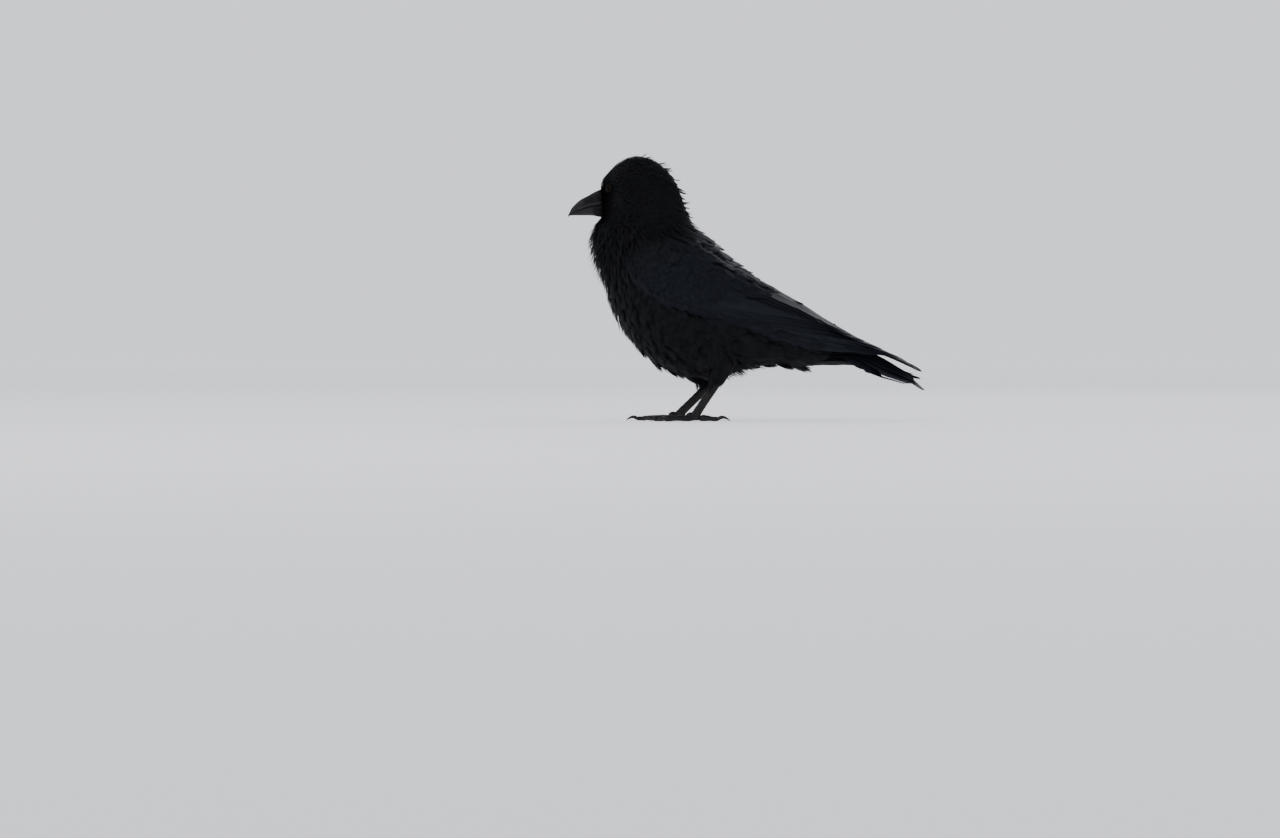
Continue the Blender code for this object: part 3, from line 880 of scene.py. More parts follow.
def lie_of_feathers(at):
    """The way feathers point: back from the bill over the head, down the neck, and along the body."""
    nearest = np.searchsorted(form.axis_length, at.length).clip(0, len(form.axis) - 1)
    body = form.tangent[nearest]
    face = (1 - ramp(at.bill, 8 * MM, 45 * MM))[:, None]
    head = unit(-FORWARD - 0.22 * UP + unit(at.points - BILL_BASE) * face * 1.1)
    is_head = (1 - ramp(at.length, 42 * MM, 80 * MM))[:, None]
    leg = np.array([0.32, 0.0, -0.95])
    is_leg = at.thigh[:, None] * (1 - ramp(at.points[:, 2], 80 * MM, 100 * MM))[:, None]
    flow = unit(head * is_head + body * (1 - is_head))
    flow = unit(flow * (1 - is_leg) + leg * is_leg)
    return square_to(flow, at.normals)


def make_skin():
    points = form.points - form.normals * ground.depth[:, None]
    add_piece("skin", new_mesh("skin", points, form.quads), skin_paint(), BODY_NODES)


make_skin()


# ---------------------------------------------------------------- contour feathers


def grow(coat, vane, keep, length, width, spacing, lift=0.0, jitter=8.0, ragged=0.1, sink=0.85, over=0.0):
    """Feathers scattered over the patches where keep is true. length, width and spacing (shares of the
    length), lift (metres out at the tip) and over (metres out all along) are numbers or arrays for each
    patch. jitter is in degrees, and sink is how deep the roots are, as a share of the coat's depth."""
    length, width, spacing, lift, over = (
        np.broadcast_to(value, len(form.triangles)) for value in (length, width, spacing, lift, over)
    )
    roots, chosen = scatter(form.points, form.triangles, length * spacing, keep)
    at = patches.each(lambda rows: rows[chosen])
    at.points = roots
    number = len(roots)
    size = length[chosen] * RNG.uniform(0.86, 1.14, number)
    flow = lie_of_feathers(at)
    side = np.cross(at.normals, flow)
    turn = np.radians(jitter) * RNG.standard_normal(number)
    flow = unit(flow + side * np.tan(turn)[:, None])
    size = spare_eyes(at, flow, size)
    lines, normals = follow(roots, flow, size)
    half = size * width[chosen] / 2 * RNG.uniform(0.88, 1.12, number)
    rise = lift[chosen] * RNG.uniform(0.2, 1.6, number)
    depth = at.depth * sink
    stand = over[chosen]

    def height(along):
        risen = rise[:, None] * np.clip(along, 0, 1.2) ** 2 + stand[:, None] * ease(along * 2)
        return risen - depth[:, None] * (1 - ease(along * 1.15))

    vane.lay(coat, lines, normals, half, size, glossiness(at), ragged, height)


def glossiness(at):
    """0 on the matt head, breast and belly, 1 on the glossy back and wings."""
    back = ramp(at.angle, 90, 150) * ramp(at.length, 85 * MM, 125 * MM)
    return np.maximum(back, np.where(np.isnan(at.v), 0.0, ramp(at.u, -5 * MM, 30 * MM)))


def spare_eyes(at, flow, size):
    """Shorter feathers where they point at an eye, so that they stop at its lids."""
    for side, eye in EYES.items():
        away = from_eye(side, at.points)
        pointing = np.clip((unit(eye - at.points) * flow).sum(axis=1) * 1.15, 0, 1)
        room = np.maximum(away - EYE_OPENING, 1.2 * MM)
        shorter = np.minimum(size, size * (1 - pointing) + room * pointing)
        size = np.where(away < 20 * MM, shorter, size)
    return size


def plant(coat, vane, roots, ways, lengths, widths, facing, droop=0.0, gloss=0.0):
    """Feathers from given roots along straight ways that sink at their tips by the droop. facing is the
    way their upper sides look, and widths are for each feather or one for all."""
    t = np.linspace(0, 1, LINE_POINTS)
    lines = roots[:, None] + ways[:, None] * (lengths[:, None] * t)[..., None]
    lines[:, :, 2] -= droop * t**2
    normals = square_to(np.broadcast_to(facing[:, None], lines.shape), unit(np.gradient(lines, axis=1)))
    widths, gloss = (np.broadcast_to(value, len(roots)) for value in (widths, gloss))
    vane.lay(coat, lines, normals, widths / 2, lengths, gloss)


def feather_length(at):
    """A contour feather's length by its place: short on the face, longest on the belly and the vent."""
    along = [0, 30, 55, 75, 110, 160, 250, 300]
    length = [6.5, 5.5, 7.5, 12, 17, 21, 24, 27]
    size = np.interp(at.length / MM, along, length) * MM
    return size * np.clip(at.bill / (42 * MM), 0.45, 1) * np.clip(at.eye / (13 * MM), 0.5, 1)


# for each patch: the length of its feathers, and whether it lies on a wing, on the body or on the back
LENGTH = feather_length(patches)
ON_WING = ~np.isnan(patches.v) & (patches.v > 0.05)
BODY = (patches.length >= 105 * MM) & ~ON_WING
IS_BACK = ramp(patches.angle, 120, 150) >= 0.5


def dress_head():
    """Small feathers, pressed down over the brows, and spikes that stand up from the crown."""
    at = patches
    clear = (at.bill > 9 * MM) & (at.eye > 4.9 * MM)
    head = (at.length < 64 * MM) & clear & ~ON_WING
    facing = 0.7 * (at.normals[:, 0] + at.normals[:, 2])
    above_neck = 1 - ramp(at.length, 55 * MM, 75 * MM)
    crown = ramp(facing, 0.3, 0.6) * above_neck * ramp(at.bill, 54 * MM, 66 * MM)
    brow = bump(at.bill, 31 * MM, 13 * MM) * bump(at.angle, 5, 50)
    lowered = -(0.2 * crown + 1.4 * brow) * MM
    coat = Coat()
    grow(coat, HEAD_VANE, head, LENGTH, 0.30, 0.26, lift=0.2 * MM, sink=0.75, over=lowered)
    spikes = (1.0 + 4.2 * crown) * MM
    grow(coat, SPIKE_VANE, head & (crown > 0.25), 10.5 * MM, 0.32, 0.66, lift=spikes, jitter=14, sink=0.5)
    coat.make("coat_head")


def dress_neck():
    """Hackles over the throat, where they stand out as a ragged beard under a smooth chin, and a smooth
    nape."""
    at = patches
    neck = (at.length > 50 * MM) & (at.length < 118 * MM) & ~ON_WING
    front = neck & (at.angle < 100)
    beard = bump(at.angle, 0, 75) * bump(at.length, 77 * MM, 24 * MM)
    chin = bump(at.length, 60 * MM, 13 * MM) * bump(at.angle, 0, 70)
    stand = (0.5 + 0.9 * ramp(at.length, 62 * MM, 80 * MM) + 5.0 * beard * (1 - 0.7 * chin)) * MM
    raised = (0.9 * ramp(at.length, 90 * MM, 102 * MM) - 1.3 * chin) * MM
    coat = Coat()
    grow(coat, HACKLE_VANE, front, LENGTH * 1.05, 0.3, 0.25, lift=stand, over=raised)
    ragged = front & (beard > 0.3) & (chin < 0.55)
    loose = (1.0 + 5.0 * beard) * MM
    grow(coat, HACKLE_VANE, ragged, 15 * MM, 0.24, 0.4, lift=loose, jitter=12, sink=0.4)
    grow(coat, HACKLE_VANE, neck & ~front, LENGTH, 0.42, 0.27, lift=1.1 * MM)
    coat.make("coat_neck")


def dress_underside(name, half):
    """The soft feathers of one half of the breast and belly, those of its thigh, and loose wisps."""
    at = patches
    below = BODY & ~IS_BACK & half
    leg = at.thigh > 0.35
    keel = bump(at.angle, 0, 60) * bump(at.length, 150 * MM, 75 * MM)
    breast = bump(at.length, 115 * MM, 30 * MM) * bump(at.angle, 0, 80)
    under_tail = bump(at.length, 250 * MM, 26 * MM) * bump(at.angle, 0, 70)
    stand = (1.2 + 1.7 * keel) * MM
    raised = (0.9 * breast - 2.4 * under_tail) * MM
    coat = Coat()
    grow(coat, BODY_VANE, below & ~leg, LENGTH, 0.44, 0.25, lift=stand, jitter=10, over=raised)
    grow(coat, BODY_VANE, below & leg, 13 * MM, 0.4, 0.26, lift=0.5 * MM)
    coat.make("coat_belly_" + name)
    low = half & ~ON_WING & (at.length > 85 * MM) & (at.angle < 75)
    vent = bump(at.length, 225 * MM, 45 * MM)
    wisp = (0.3 + (1.8 + 2.2 * vent) * bump(at.angle, 0, 50)) * MM
    coat = Coat()
    grow(coat, DOWN_VANE, low, 11 * MM, 0.16, 0.3, lift=wisp, jitter=18, sink=0.3)
    coat.make("coat_wisps_" + name)


def dress_back():
    at = patches
    rump = (1.6 + 0.6 * ramp(at.length, 115 * MM, 150 * MM)) * MM
    mantle = 0.5 * MM * bump(at.length, 115 * MM, 60 * MM)
    coat = Coat()
    grow(coat, BACK_VANE, BODY & IS_BACK, LENGTH * 0.95, 0.56, 0.26, lift=rump, ragged=0.04, over=mantle)
    coat.make("coat_back")


def dress_shoulders():
    """The wings' small coverts, and the longer scapulars over their upper edges."""
    at = patches
    smooth = {"jitter": 4, "ragged": 0.04}
    coat = Coat()
    lesser = ON_WING & (at.u < 92 * MM) & (at.v < 0.85)
    raised = 1.0 * MM * ramp(at.u, 34 * MM, 58 * MM)
    grow(coat, BACK_VANE, lesser, 15 * MM, 0.62, 0.3, lift=0.5 * MM, over=raised, **smooth)
    scapular = ON_WING & (at.v >= 0.66) & (at.u < 142 * MM)
    raised = 2.0 * MM * ramp(at.u, 62 * MM, 96 * MM)
    grow(coat, BACK_VANE, scapular, 26 * MM, 0.5, 0.27, lift=1.3 * MM, over=raised, **smooth)
    coat.make("coat_shoulders")


def under_side(x, y):
    """The heights of the form's underside at x and y."""
    hits = [up_to(form.tree, *spot) for spot in zip(x, y)]
    return np.array([hit.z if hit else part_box("tail")[0].z for hit in hits])


def upper_side(x, y):
    """The heights of the form's upper side at x and y."""
    hits = [down_to(form.tree, *spot) for spot in zip(x, y)]
    return np.array([hit.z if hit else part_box("tail")[1].z for hit in hits])


def tail_coverts():
    """Long soft feathers under, beside and over the root of the tail."""
    coat = Coat()
    root_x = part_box("trunk")[1].x
    number = 90
    share = RNG.random(number)
    x = root_x - (12 + 44 * (1 - share)) * MM
    y = RNG.uniform(-1, 1, number) * (9 + 6 * share) * MM
    z = under_side(x, y) + (0.8 + RNG.uniform(0, 11, number) * share) * MM
    ways = unit(triples(1, y * 2.5, -0.02 - 0.06 * share))
    lengths, widths = RNG.uniform(36, 50, number) * MM, RNG.uniform(11, 14, number) * MM
    plant(coat, BODY_VANE, triples(x, y, z), ways, lengths, widths, triples(0, y * 30, -1))
    number = 36
    side = np.where(np.arange(number) % 2, 1.0, -1.0)
    x = root_x - RNG.uniform(4, 34, number) * MM
    z = RNG.uniform(66, 80, number) * MM
    y = side * RNG.uniform(9, 16, number) * MM
    ways = unit(triples(1, -0.12 * side, -0.16))
    lengths = RNG.uniform(30, 40, number) * MM
    plant(coat, BODY_VANE, triples(x, y, z), ways, lengths, 11 * MM, triples(0, side, -0.3))
    number = 26
    x = root_x - (38 - 22 * np.linspace(0, 1, number)) * MM
    y = RNG.uniform(-1, 1, number) * 10 * MM
    z = upper_side(x, y) - 3.0 * MM
    ways = unit(triples(1, y * 3, -0.48))
    lengths = RNG.uniform(34, 44, number) * MM
    plant(coat, BACK_VANE, triples(x, y, z), ways, lengths, 13 * MM, triples(0, y * 20, 1), gloss=0.8)
    coat.make("coat_tail_coverts")


TROUSERS = {
    # from where to where along x their roots lie, from the ankle, and the heights they hang down to
    "left": ((-16 * MM, -2 * MM), (27 * MM, 44 * MM)),
    "right": ((-27.5 * MM, -8 * MM), (29 * MM, 42 * MM)),
}


def long_axis(points):
    """The middle of some points and the way in which they reach farthest."""
    middle = points.mean(axis=0)
    return middle, np.linalg.svd(points - middle, full_matrices=False)[2][0]


def shank_ends(name):
    """The middles of a shank's upper and lower ends."""
    points = node_mesh("shank_" + name)[0]
    middle, axis = long_axis(points)
    along = (points - middle) @ axis
    return sorted((middle + axis * along.min(), middle + axis * along.max()), key=lambda end: -end[2])


def leg_tufts():
    """The feathers that hang from the thighs over the ankles and close in on the shanks."""
    coat = Coat()
    number = 150
    for name, ((front, rear), ends) in TROUSERS.items():
        ankle, foot = shank_ends(name)
        turn = RNG.uniform(0, 2 * math.pi, number)
        reach = RNG.uniform(0.25, 1.0, number) ** 0.5
        x = ankle[0] + (front + rear) / 2 + (rear - front) / 2 * np.cos(turn) * reach
        y = (ankle[1] + foot[1]) / 2 + 7 * MM * np.sin(turn) * reach
        roots = triples(x, y, ankle[2] + RNG.uniform(4, 16, number) * MM)
        end = RNG.uniform(*ends, number)
        shank = foot + (ankle - foot) * ((end - foot[2]) / (ankle[2] - foot[2]))[:, None]
        ahead = np.where((np.cos(turn) < 0) & (name == "right"), 6.5, 4.0) * MM
        spread = triples(ahead * np.cos(turn), 4.5 * MM * np.sin(turn), 0)
        tips = shank + spread * reach[:, None]
        tips[:, 2] = end
        length = np.linalg.norm(tips - roots, axis=1)
        facing = triples(np.cos(turn), np.sin(turn), 0)
        plant(coat, HACKLE_VANE, roots, unit(tips - roots), length, 3.8 * MM, facing)
        sleeve(coat, ankle, foot)
    coat.make("coat_ankles")


def sleeve(coat, ankle, foot):
    """Feathers all round the top of a shank that lie down along it, and loose wisps behind it."""
    down = unit(foot - ankle)
    behind = square_to(np.array([1.0, 0.0, 0.0]), down)
    beside = np.cross(down, behind)
    for number, vane, width, lengths, turns, stand in (
        (230, HACKLE_VANE, 0.26, (13, 20), (0, 2 * math.pi), (-0.06, 0.05)),
        (12, DOWN_VANE, 0.16, (6, 10), (-0.9, 0.9), (0.2, 0.7)),
    ):
        turn = RNG.uniform(*turns, number)
        out = np.cos(turn)[:, None] * behind + np.sin(turn)[:, None] * beside
        roots = ankle + out * 5.6 * MM + down * (RNG.uniform(-8, 3, number) * MM)[:, None]
        ways = unit(down + out * RNG.uniform(*stand, number)[:, None])
        length = RNG.uniform(*lengths, number) * MM
        plant(coat, vane, roots, ways, length, length * width, out)


TUFTS = [
    # share of the trunk's length, feathers, their length, their slope and how deep their roots are
    (0.180, 7, 16 * MM, -1.05, 1.2 * MM),
    (0.238, 13, 19 * MM, -1.0, 1.2 * MM),
    (0.305, 9, 15 * MM, -0.72, 1.2 * MM),
    (0.338, 7, 13 * MM, -0.62, 1.2 * MM),
    (0.378, 12, 16 * MM, -0.60, 1.2 * MM),
    (0.405, 12, 15 * MM, -0.60, 1.2 * MM),
    (0.680, 7, 15 * MM, -0.14, 3.6 * MM),
    (0.735, 9, 22 * MM, -0.25, 3.6 * MM),
    (0.788, 10, 24 * MM, -0.37, 3.6 * MM),
]


def belly_tufts():
    """Small tufts that stand out from the belly and from under the tail's root, and down at the vent."""
    coat = Coat()
    low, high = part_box("trunk")
    long = high.x - low.x
    for share, number, length, slope, depth in TUFTS:
        x = low.x + long * share + RNG.uniform(-3, 3, number) * MM
        y = RNG.uniform(-7, 7, number) * MM
        lengths = length * RNG.uniform(0.75, 1.1, number)
        hang_from_under(coat, SPIKE_VANE, x, y, lengths, 0.3, slope, depth)
    number = 80
    x = low.x + long * RNG.uniform(0.50, 0.60, number)
    y = RNG.uniform(-20, 20, number) * MM
    lengths = RNG.uniform(7, 12, number) * MM
    hang_from_under(coat, DOWN_VANE, x, y, lengths, 0.14, -0.75, 1.2 * MM)
    coat.make("coat_tufts")


def hang_from_under(coat, vane, x, y, lengths, width, slope, depth):
    """Feathers rooted in the underside at x and y that point back and hang at a slope."""
    hang = slope * RNG.uniform(0.6, 1.2, len(x))
    down = triples(hang, RNG.uniform(-2.5, 2.5, len(x)), -1)
    roots = triples(x, y, under_side(x, y) + depth)
    plant(coat, vane, roots, unit(triples(1, y * 8, hang)), lengths, lengths * width, down, droop=1.5 * MM)


dress_head()
dress_neck()
dress_underside("left", patches.side < 0)
dress_underside("right", patches.side >= 0)
dress_back()
dress_shoulders()
tail_coverts()
leg_tufts()
belly_tufts()


# ---------------------------------------------------------------- quills: the long feathers


class Quills:
    """Gathers long feathers, each a thin closed blade with a raised shaft, and makes them one mesh."""

    COLUMNS = np.array([-1.0, -0.86, -0.55, -0.22, -0.05, 0.05, 0.22, 0.55, 0.86, 1.0])
    THICKNESS = 0.26 * MM
    SWEEP = -0.45
    MOST_SLITS = 2

    def __init__(self):
        self.blades = []

    def add(self, t, line, normal, side, half_low, half_high, tilt=0.0, shaft=1.1 * MM):
        """t: each row's place from root to tip. line, normal, side: rows x 3, the side pointing to the
        hidden edge. half_low and half_high: the vane's width on the shown and the hidden side."""
        columns = self.COLUMNS
        tone = 0.5 + RNG.uniform(-0.2, 0.2)
        low = half_low * (1 - self.slit_depth(t))
        high = half_high * (1 - self.slit_depth(t))
        across = np.where(columns < 0, columns * low[:, None], columns * high[:, None])
        slide = self.SWEEP * np.abs(across) * (1 - ramp(t, 0.0, 0.2))[:, None]
        ahead = unit(np.gradient(line, axis=0))
        thick = (self.THICKNESS * (1 - 0.75 * np.abs(columns) ** 3))[None] * (1 - 0.4 * t[:, None])
        ridge = shaft * (1 - 0.8 * t[:, None]) * (np.abs(columns) < 0.1)[None] * 0.32
        fall = np.where(across < 0, 0.035, 0.06)
        hollow = -fall * np.abs(across) ** 1.3 / (5 * MM) ** 0.3
        rise = hollow - tilt * across + ridge
        middle = line[:, None] + side[:, None] * across[..., None] + ahead[:, None] * slide[..., None]
        top = middle + normal[:, None] * (rise + thick / 2)[..., None]
        under = middle + normal[:, None] * (rise - 1.6 * ridge - thick / 2)[..., None]
        ring = np.concatenate([top, under[:, ::-1]], axis=1)
        length = np.linalg.norm(np.diff(line, axis=0), axis=1).sum()
        self.blades.append((ring, across, t * length, tone))

    def slit_depth(self, t):
        """How deep the vane's edge is parted along its length, where barbs have come unzipped."""
        depth = 0.03 * RNG.random(len(t))
        for _ in range(RNG.integers(0, self.MOST_SLITS + 1)):
            deepest, place = RNG.uniform(0.1, 0.3), RNG.uniform(0.35, 0.95)
            depth = depth + deepest * bump(t, place, 0.03)
        return depth

    def make(self, name, slot, replaces=(), flip=False):
        points, faces, bake, vane, tones, edges = [], [], [], [], [], []
        count = 0
        for index, (ring, across, along, tone) in enumerate(self.blades):
            rows, around = ring.shape[:2]
            half = around // 2
            grid = count + np.arange(rows * around).reshape(rows, around)
            for row, order in ((grid[0], 1), (grid[-1], -1)):
                back = row[::-1]
                cap = np.stack([row[: half - 1], row[1:half], back[1:half], back[: half - 1]], axis=-1)
                faces.append(cap[:, ::order])
            faces.append(bands(grid)[:, ::-1])
            points.append(ring.reshape(-1, 3))
            both = np.concatenate([across, across[:, ::-1]], axis=1)
            lane = np.repeat([0.27, 0.73], half)
            place = (index + lane[None] + both / np.abs(both).max() * 0.2) / len(self.blades)
            length = np.repeat(along[:, None], around, axis=1)
            bake.append(np.stack([place, 0.01 + 0.98 * length / length.max()], -1).reshape(-1, 2))
            vane.append((np.stack([both, length], -1) / Coat.VANE_UNIT).reshape(-1, 2))
            tones.append(np.full(rows * around, tone))
            edges.append(np.tile(np.abs(self.COLUMNS), 2 * rows))
            count += rows * around
        faces = np.vstack(faces)
        if flip:
            faces = faces[:, ::-1]
        uvs = {"OFBake": np.vstack(bake), "vane": np.vstack(vane)}
        values = {"tone": np.concatenate(tones), "edge": np.concatenate(edges), "gloss": np.ones(count)}
        mesh = new_mesh(name, np.vstack(points), faces, uvs, values)
        mesh.set_sharp_from_angle(angle=math.radians(50))
        add_piece(name, mesh, QUILL, replaces)


def quill_rows(rows):
    """Places from root to tip, closer together towards the tip."""
    return 1 - (1 - np.linspace(0, 1, rows)) ** 1.7


def quill_width(t, broadest, tip):
    """A quill's width along it, as a share of its greatest: tip is the share over which it rounds off."""
    grow_in = 0.30 + 0.70 * ramp(t, -0.1, broadest)
    from_tip = np.clip((1 - t) / tip, 0, 1)
    return grow_in * np.sqrt(np.clip(1 - (1 - from_tip) ** 2, 0.0, 1)) + 0.01


def through(start, middle, end, t):
    """A smooth curve by three points, at t from 0 to 1."""
    return start * (2 * t - 1) * (t - 1) + middle * 4 * t * (1 - t) + end * t * (2 * t - 1)


def wing_quill(quills, wing, root, tip, widths, heights, tilt, tip_share, rows, middle=None, reach=1.7):
    """A feather on a folded wing. root, middle and tip are (u in mm, v), widths (mm) are its shown and
    hidden vanes, heights (mm, at root and tip) are over the wing's form, and reach (mm) is how far the
    hidden vane may lie past the wing's upper edge."""
    t = quill_rows(rows)
    middle = middle or ((root[0] + tip[0]) / 2, (root[1] + tip[1]) / 2)
    u = through(root[0], middle[0], tip[0], t) * MM
    v = through(root[1], middle[1], tip[1], t)
    line, normal = wing.at(u, v)
    for _ in range(4):
        normal = unit(smoothed(normal))
    lift = np.interp(t, [0, 0.3, 1], [heights[0] - 1.0, *heights]) * MM
    line = line + normal * lift[:, None]
    side = unit(np.cross(normal, unit(np.gradient(line, axis=0)))) * -wing.sign
    room = wing.width_at(u)
    share = np.clip(v, 0, 1)
    to_midline = np.abs(wing.at(u, np.ones_like(u))[0][:, 1]) + (0.8 if wing.sign < 0 else -0.3) * MM
    past = np.minimum(np.maximum(to_midline, 1.7 * MM), reach * MM)
    low = np.minimum(widths[0] * MM, (share + 0.02) * room + 0.4 * MM) * quill_width(t, 0.45, tip_share)
    high = np.minimum(widths[1] * MM, (1.04 - share) * room + past) * quill_width(t, 0.35, tip_share)
    quills.add(t, line, normal, side, low, high, tilt=tilt)


PRIMARIES = [
    # tip (u in mm, v), widths shown and hidden
    ((252, 0.04), (3.0, 8.0)),
    ((290, 0.22), (3.4, 9.0)),
    ((329, 0.50), (3.8, 9.5)),
    ((330.5, 0.62), (4.0, 9.5)),
    ((322, 0.73), (4.4, 9.5)),
    ((304, 0.82), (4.8, 10.0)),
    ((284, 0.86), (5.2, 10.0)),
    ((265, 0.86), (5.6, 10.0)),
    ((250, 0.84), (6.0, 10.0)),
    ((237, 0.82), (6.2, 10.0)),
]
# rows of feathers: how many, root and tip (u, v, step in u, step in v), widths, heights, tilt, rounded
# share of the tip, mesh rows
SECONDARIES = [(6, (92, 0.26, 3, 0.05), (203, 0.40, 7, 0.055), (8.0, 12.0), (-1.2, -0.9), 0.1, 0.16, 34)]
COVERTS = [
    (3, (8, 0.03, 5, 0.02), (58, 0.05, 9, 0.03), (4.0, 6.0), (-0.6, -0.1), 0.12, 0.3, 22),
    (8, (28, 0.02, 3, 0.022), (92, 0.02, 3, 0.03), (3.6, 6.5), (-1.2, -0.9), 0.12, 0.25, 22),
    (11, (58, 0.16, 4, 0.062), (118, 0.22, 3.2, 0.064), (8.0, 9.5), (-0.8, -0.1), 0.12, 0.3, 24),
    (12, (42, 0.08, 4, 0.066), (86, 0.13, 3.2, 0.067), (7.0, 8.0), (-0.4, 0.25), 0.12, 0.42, 20),
]


def lay_rows(quills, wing, rows):
    for number, root, tip, *shape in rows:
        for i in range(number):
            places = [(u + u_step * i, v + v_step * i) for u, v, u_step, v_step in (root, tip)]
            wing_quill(quills, wing, *places, *shape)


def make_wing_quills(side):
    """Ten primaries, six secondaries and the three inner ones (tertials) over them, then the coverts."""
    wing = WINGS[side]
    flight = Quills()
    for i, (tip, widths) in enumerate(PRIMARIES):
        root = (30 + 2.5 * i, 0.02 + 0.022 * i)
        middle = ((root[0] + tip[0]) / 2, 0.02 + 0.034 * i + 0.04 * float(ramp(i, 1, 6)))
        lift = -1.9 + 0.12 * i + 0.25 * max(i - 4, 0)
        heights = (lift, lift + 1.1 + 0.1 * i)
        wing_quill(flight, wing, root, tip, widths, heights, 0.12, 0.1, 46, middle, reach=4.0)
    lay_rows(flight, wing, SECONDARIES)
    for i in range(3):
        root, tip = (108 + 2 * i, 0.62 + 0.09 * i), (258 - 7 * i, 0.78 + 0.07 * i)
        widths, heights = (10.5 + i, 14.0), (0.5, 1.4 + 0.2 * i)
        wing_quill(flight, wing, root, tip, widths, heights, 0.09, 0.16, 36, reach=7.0)
    flight.make("flight_" + side, "flight_feathers", ["primaries_" + side], flip=wing.sign > 0)
    coverts = Quills()
    lay_rows(coverts, wing, COVERTS)
    coverts.make("coverts_" + side, "plumage", flip=wing.sign > 0)


class TailForm:
    """The arched upper surface of the closed tail, as a smooth height over x and y."""

    ROOT = 34 * MM
    STEP = 6 * MM

    def __init__(self):
        tree = tree_of(*node_mesh("tail"))
        low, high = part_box("tail")
        self.start, self.end = low.x, high.x
        self.bend = self.start + self.ROOT
        self.edge = 0.9 * high.y
        spots = []
        for x in np.linspace(self.bend, self.end - 4 * MM, 14):
            for y in np.linspace(-self.edge, self.edge, 19):
                hit = down_to(tree, x, y)
                if hit:
                    spots.append(tuple(hit))
        x, y, z = np.array(spots).T
        self.fit = np.linalg.lstsq(self.terms(x, y), z, rcond=None)[0]

    def terms(self, x, y):
        x, y = (x - self.bend) / (100 * MM), y / (25 * MM)
        return np.stack([x**i * y ** (2 * j) for i in range(3) for j in range(3)], axis=-1)

    def height(self, x, y):
        """The fitted height, carried on in a straight line before the bend."""
        y = np.clip(y, -self.edge, self.edge)
        there = self.terms(np.maximum(x, self.bend), y) @ self.fit
        step = self.terms(np.full_like(x, self.bend + self.STEP), y) @ self.fit
        first = self.terms(np.full_like(x, self.bend), y) @ self.fit
        return there + (step - first) / self.STEP * np.minimum(x - self.bend, 0)

    def slope(self, x, y):
        """How the height changes with y."""
        return (self.height(x, y + 2 * MM) - self.height(x, y - 2 * MM)) / (4 * MM)


TAIL_PAIRS = 6
HIDDEN_TIP = -5.5
# mm past the CAD tail's end, from the middle feather out
TAIL_TIPS = [1.0, 1.8, -7.0, -6.0, 4.8, -2.6]
# the feathers of the left side that are rolled at their tips, and how steeply
TAIL_ROLLS = {1: 0.16, 4: 0.08}


def tail_feather(quills, tail, k, name):
    """One rectrix, the k-th from the middle. The two middle ones of each side rise at their tips, the
    fifth on the left hangs lower, and the outermost on the left is loose."""
    sign, shown = SIDES[name], name == "left"
    loose = shown and k == TAIL_PAIRS - 1
    t = quill_rows(42)
    reach = TAIL_TIPS[k] if shown or k == 0 else min(TAIL_TIPS[k], HIDDEN_TIP)
    root = tail.start - 10 * MM
    tip = tail.end + (reach - RNG.uniform(0, 1.2) - (12.0 if loose else 0.0)) * MM
    x = root + (tip - root) * t
    y = sign * (1.2 + 3.3 * k) * MM * (0.5 + 0.5 * ramp(t, 0.0, 0.7))
    z = tail.height(x, y) - (0.4 + 0.5 * k + (0.0 if shown else 0.25)) * MM
    slope = np.clip(tail.slope(x, y), -1.6, 1.6)
    outer, inner = (8.5 if k == TAIL_PAIRS - 1 else 10.0), 11.5
    if k < 2:
        z = z + 3.2 * MM * ramp(t, 0.84, 1.0) ** 2
    if shown and k == 4:
        z = z - 1.2 * MM * ramp(t, 0.1, 0.5) - 3.4 * MM * ramp(t, 0.82, 1.0) ** 2
    if shown:
        slope = slope + TAIL_ROLLS.get(k, 0.0) * ramp(t, 0.8, 1.0)
    if loose:
        level = ramp(t, 0.60, 0.76)
        z = z - (4.6 * ramp(t, 0.05, 0.35) - 2.4 * level) * MM + slope * 6.6 * MM * level * sign
        slope = slope * (1 - 0.7 * level)
        outer, inner = outer - 5.5 * level, inner - 8.0 * level
    line = triples(x, y, z)
    ahead = unit(np.gradient(line, axis=0))
    side = square_to(triples(0, 1, slope), ahead)
    normal = unit(np.cross(ahead, side))
    shape = quill_width(t, 0.5, 0.06 if k in TAIL_ROLLS else 0.07) * MM
    low, high = (outer, inner) if shown else (inner, outer)
    quills.add(t, line, normal, side, low * shape, high * shape, shaft=1.4 * MM)


def make_tail():
    """Twelve rectrices under one another, the middle pair on top, following the closed tail's arch."""
    tail = TailForm()
    quills = Quills()
    for k in reversed(range(TAIL_PAIRS)):
        for name in SIDES:
            tail_feather(quills, tail, k, name)
    quills.make("tail_feathers", "flight_feathers", ["tail"])


for wing_side in SIDES:
    make_wing_quills(wing_side)
make_tail()


# ---------------------------------------------------------------- bill, eyes, legs and claws


def outward(points, triangles):
    """The same points and triangles, all facing out."""
    a, b, c = (points[triangles[:, i]] - points.mean(axis=0) for i in range(3))
    volume = (np.cross(a, b) * c).sum()
    return points, triangles if volume > 0 else triangles[:, ::-1]


def tube(rings):
    """Rings (rows x around x 3) joined into triangles, with both ends closed by a middle point."""
    rings = np.asarray(rings)
    rows, around = rings.shape[:2]
    grid = np.arange(rows * around).reshape(rows, around)
    points = np.vstack([rings.reshape(-1, 3), rings[0].mean(axis=0), rings[-1].mean(axis=0)])
    first, last = rows * around, rows * around + 1
    caps = [(first, a, b) for a, b in zip(grid[0], np.roll(grid[0], -1))]
    caps += [(last, b, a) for a, b in zip(grid[-1], np.roll(grid[-1], -1))]
    return outward(points, np.vstack([halves(bands(grid)), caps]))


